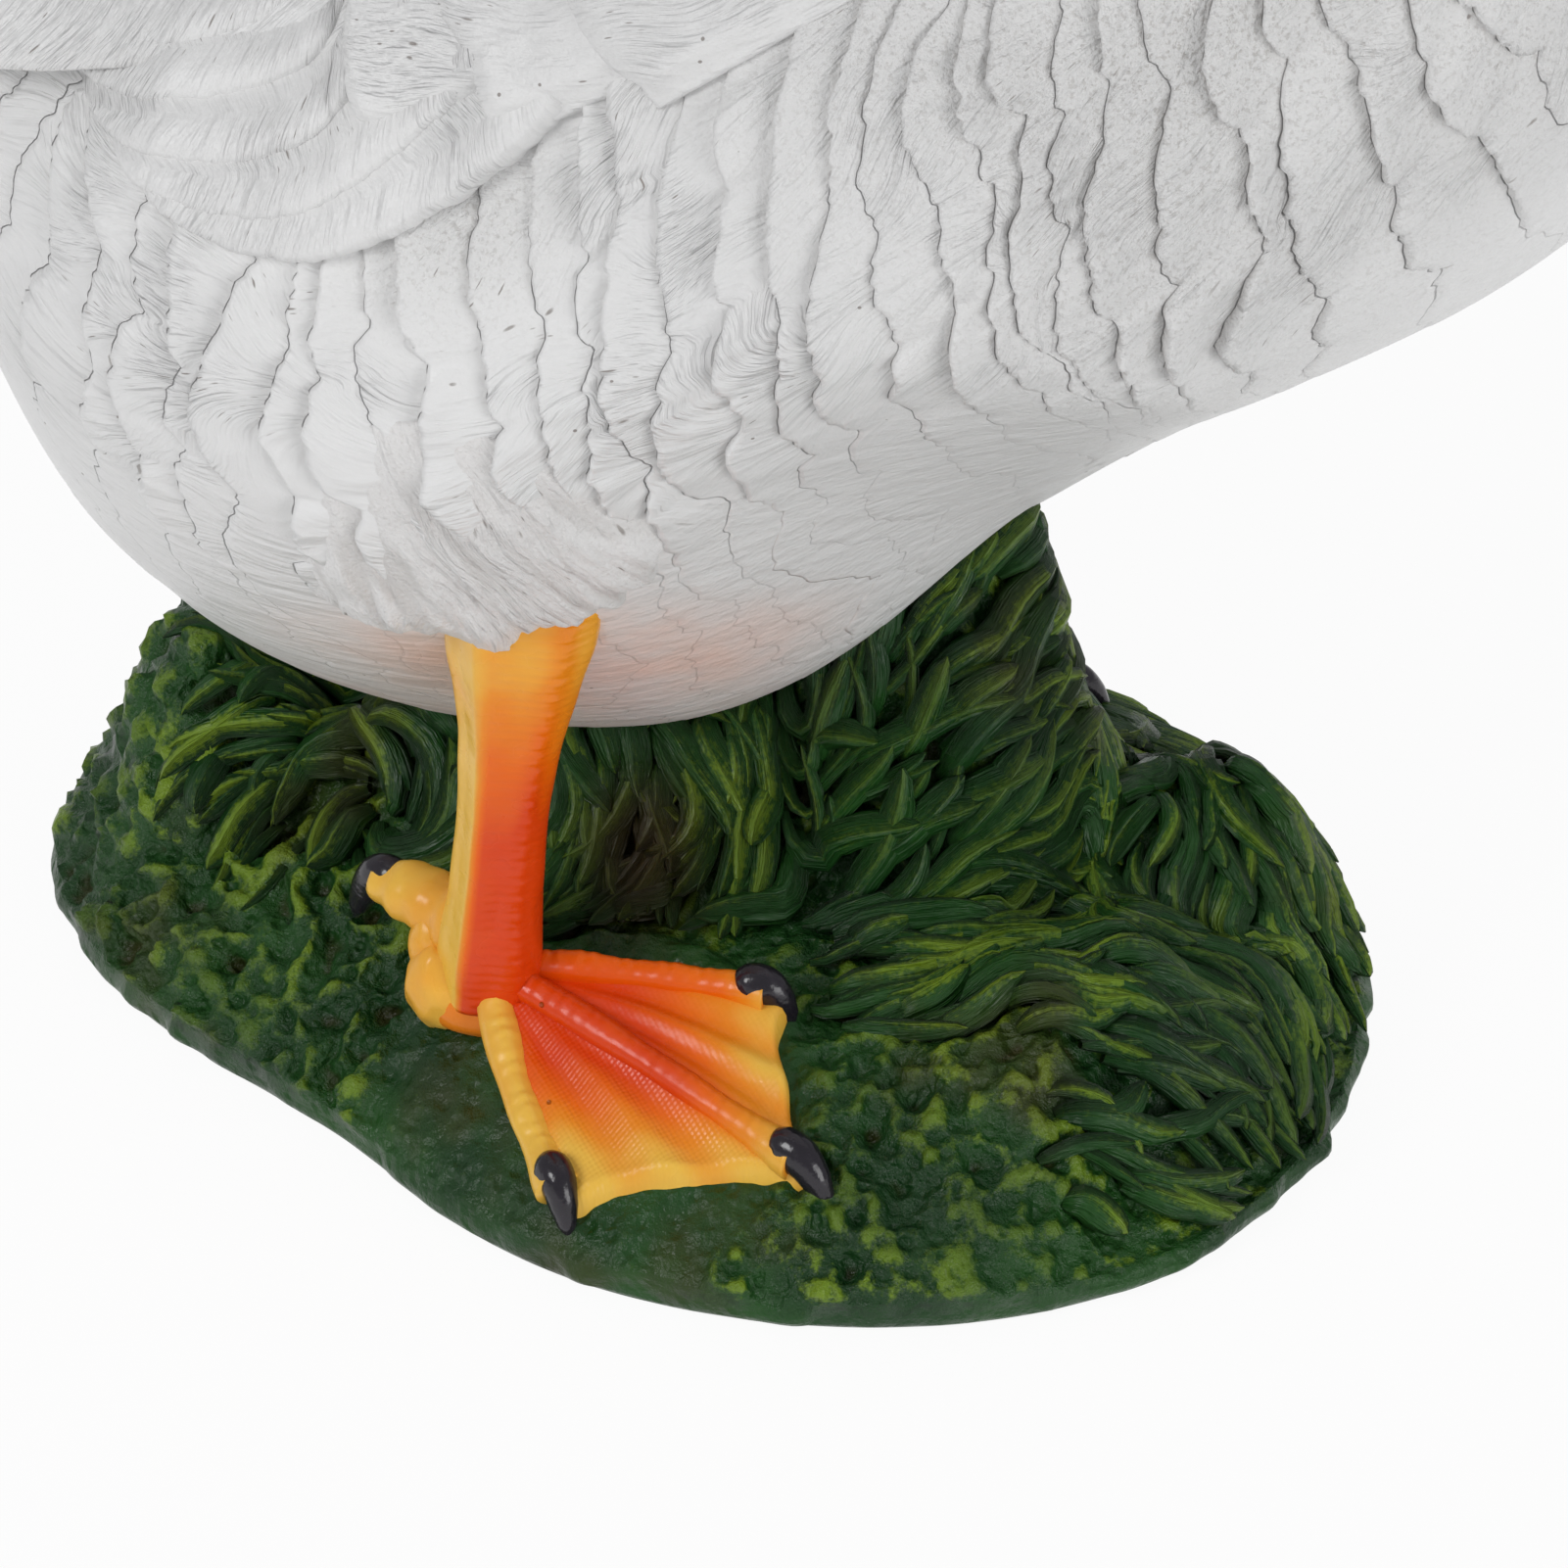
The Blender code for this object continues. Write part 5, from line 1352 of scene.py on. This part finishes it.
def locks():
    """Thick modelled locks of grass, each swept along the combed directions and tapered to its tip."""
    rng = np.random.RandomState(5)
    angle, share = rng.rand(LOCK_TRIALS) * 2 * math.pi, np.sqrt(rng.rand(LOCK_TRIALS))
    r = rim_radius(angle) * share * 0.975
    x, y = r * np.cos(angle), r * np.sin(angle)
    pick = rng.rand(8, LOCK_TRIALS)
    z, normal = slope_of(x, y)
    # Steep ground has more surface than its plan shows, so more of the locks there are kept
    keep = pick[0] < wildness(x, y, z) * np.minimum(1 / normal[:, 2], 3.5) / 3.5
    pick = pick[:, keep]
    path, normals, step = comb(x[keep], y[keep], pick)
    x, y = path[..., 0], path[..., 1]
    good = np.nonzero((rim_share(x, y).max(0) < 0.997) & (quiet(x, y).max(0) < 0.6))[0][:LOCKS]
    path, normals, pick = path[:, good], normals[:, good], pick[:, good]

    a = np.linspace(0, 1, LOCK_RINGS)[:, None]
    size = 0.00085 + 0.00150 * pick[1] ** 1.3
    free = 0.0004 + 0.0016 * pick[4] ** 2
    raised = size * np.interp(a, (0, 0.2, 1), (-0.7, -0.12, 0.15)) + free * a ** 3
    path = path + normals * raised[..., None]
    tangent = np.gradient(path, axis=0)
    tangent /= np.linalg.norm(tangent, axis=-1, keepdims=True) + 1e-9
    across = np.cross(tangent, normals)
    across /= np.linalg.norm(across, axis=-1, keepdims=True) + 1e-9
    t = circle(LOCK_SIDES)
    taper = np.interp(a, (0, 0.15, 0.45, 0.75, 0.92, 1.0), (0.45, 0.85, 1.0, 0.85, 0.50, 0.08)) * size
    wide = taper[..., None] * np.sin(t) * 1.05
    tall = taper[..., None] * np.where(np.cos(t) > 0, 1.05 * np.cos(t), 0.8 * np.cos(t))
    points = path[:, :, None] + across[:, :, None] * wide[..., None] + normals[:, :, None] * tall[..., None]
    points = points.transpose(1, 0, 2, 3)

    # Points stand by lock, ring and side
    shape = points.shape[:3]
    number = np.arange(shape[0])[:, None, None]
    one = np.array(grid_faces(LOCK_RINGS, LOCK_SIDES, True))
    faces = (one[None] + number * LOCK_RINGS * LOCK_SIDES).reshape(-1, 4).tolist()
    ahead = a[None]
    crest = np.clip(np.cos(t), 0, 1) ** 2 * (0.45 + 0.65 * ahead) * (0.45 + 0.85 * pick[5][:, None, None])
    # Painted shade under each lock, and wash with painted shade in the hollow by the near leg
    cavity_shade_and_wash = np.clip(0.85 * leg_hollow_wash_and_shade(points) + 0.5 * np.clip(-np.cos(t), 0, 1), 0, 1)
    along = ahead * (step[good] * (LOCK_RINGS - 1) * 1000)[:, None, None]
    carve = np.stack(np.broadcast_arrays(t * 1.1, along, number * 3.7 % 211), -1)
    values = {"crest": crest.ravel(), "cavity_shade_and_wash": cavity_shade_and_wash.ravel(), "combed": 1.0, "carve": carve.reshape(-1, 3)}
    piece("grass_locks", points, turned(faces, True), GREEN, values)


body_pieces()
wings()
hems()
tail()
head()
for leg_side, leg_word, leg_shift in LEGS:
    shank(leg_side, leg_word, leg_shift)
    for toe_number in range(len(TOE_NAMES)):
        toe(toe_number, leg_side, leg_word, leg_shift)
    for web_number in range(len(TOE_NAMES) - 1):
        web(web_number, leg_side, leg_word, leg_shift)
    hind_toe(leg_side, leg_word, leg_shift)
mound()
locks()


# Studio

FLOOR_SIZE = 3.0
FLOOR_GLOW = 0.94
WORLD_STRENGTH = 0.42
LAMP_TARGET = np.array((-0.02, 0.0, 0.07))
# Name, azimuth, elevation, distance, size, power
LAMPS = (("key", 232, 32, 1.0, 0.34, 3.2), ("fill", 325, 3, 1.2, 0.7, 6.8), ("rim", 100, 50, 1.2, 0.8, 0.6))


def direction(azimuth, elevation):
    """Way to something seen at this azimuth and elevation, in degrees."""
    a, e = math.radians(azimuth), math.radians(elevation)
    return np.array((math.sin(a) * math.cos(e), -math.cos(a) * math.cos(e), math.sin(e)))


def floor():
    mesh = bpy.data.meshes.new("floor")
    corners = [(FLOOR_SIZE * a, FLOOR_SIZE * b, 0) for a, b in ((-1, -1), (1, -1), (1, 1), (-1, 1))]
    mesh.from_pydata(corners, [], [(0, 1, 2, 3)])
    thing = bpy.data.objects.new("floor", mesh)
    thing.location.z = -0.00002
    bpy.context.scene.collection.objects.link(thing)
    p = Paint("floor_white", (0.90, 0.90, 0.90))
    p.set("Roughness", 0.8)
    path = p.node("ShaderNodeLightPath")
    rays = [Signal(p, path.outputs[f"Is {kind} Ray"]) for kind in ("Camera", "Glossy", "Transmission")]
    seen = p.math("MAXIMUM", rays[0], p.math("MAXIMUM", rays[1], rays[2]))
    glow = p.signal("ShaderNodeEmission", {"Color": (1.0, 1.0, 1.0), "Strength": 1.0})
    mix = p.signal("ShaderNodeMixShader", {0: seen * FLOOR_GLOW, 1: Signal(p, p.shader.outputs[0]), 2: glow})
    p.put(p.tree.nodes["Material Output"].inputs[0], mix)
    mesh.materials.append(p.material)


def world():
    """Soft light from all round, and plain white where the camera sees past the floor."""
    studio = bpy.data.worlds.new("studio")
    bpy.context.scene.world = studio
    studio.use_nodes = True
    tree = studio.node_tree
    back = tree.nodes["Background"]
    back.inputs[0].default_value = (0.97, 0.98, 1.0, 1.0)
    back.inputs[1].default_value = WORLD_STRENGTH
    white = tree.nodes.new("ShaderNodeBackground")
    white.inputs[0].default_value = (1.0, 1.0, 1.0, 1.0)
    white.inputs[1].default_value = 1.0
    path = tree.nodes.new("ShaderNodeLightPath")
    mix = tree.nodes.new("ShaderNodeMixShader")
    tree.links.new(path.outputs["Is Camera Ray"], mix.inputs[0])
    tree.links.new(back.outputs[0], mix.inputs[1])
    tree.links.new(white.outputs[0], mix.inputs[2])
    tree.links.new(mix.outputs[0], tree.nodes["World Output"].inputs[0])


def lamps():
    for name, azimuth, elevation, distance, size, power in LAMPS:
        away = distance * direction(azimuth, elevation)
        light = bpy.data.lights.new(name, "AREA")
        light.energy, light.size = power, size
        lamp = bpy.data.objects.new(name, light)
        lamp.location = LAMP_TARGET + away
        lamp.rotation_euler = mathutils.Vector(away).to_track_quat("Z", "Y").to_euler()
        bpy.context.scene.collection.objects.link(lamp)


# The photograph's view: from the goose's right and a little ahead, well above. The pixel is where
# the origin of the part falls in the photograph
VIEW_AZIMUTH = 285
VIEW_ELEVATION = 35
VIEW_DISTANCE = 1.0
PIXELS = 1601
PIXELS_PER_METRE = 8930.0
ORIGIN_PIXEL = (731.0, 1008.0)


def camera():
    back = direction(VIEW_AZIMUTH, VIEW_ELEVATION)
    right = direction(VIEW_AZIMUTH + 90, 0)
    up = np.cross(back, right)
    offset = ((PIXELS / 2 - ORIGIN_PIXEL[0]) * right + (ORIGIN_PIXEL[1] - PIXELS / 2) * up) / PIXELS_PER_METRE
    data = bpy.data.cameras.new("camera")
    data.sensor_fit = "HORIZONTAL"
    data.angle = 2 * math.atan(PIXELS / PIXELS_PER_METRE / 2 / VIEW_DISTANCE)
    data.clip_start, data.clip_end = 0.05, 20.0
    thing = bpy.data.objects.new("camera", data)
    where = back * VIEW_DISTANCE + offset - CENTRE
    matrix = np.eye(4)
    matrix[:3] = np.column_stack((right, up, back, where))
    thing.matrix_world = mathutils.Matrix(matrix.tolist())
    bpy.context.scene.collection.objects.link(thing)
    bpy.context.scene.camera = thing


floor()
world()
lamps()
camera()
bpy.context.scene.view_settings.view_transform = "Standard"
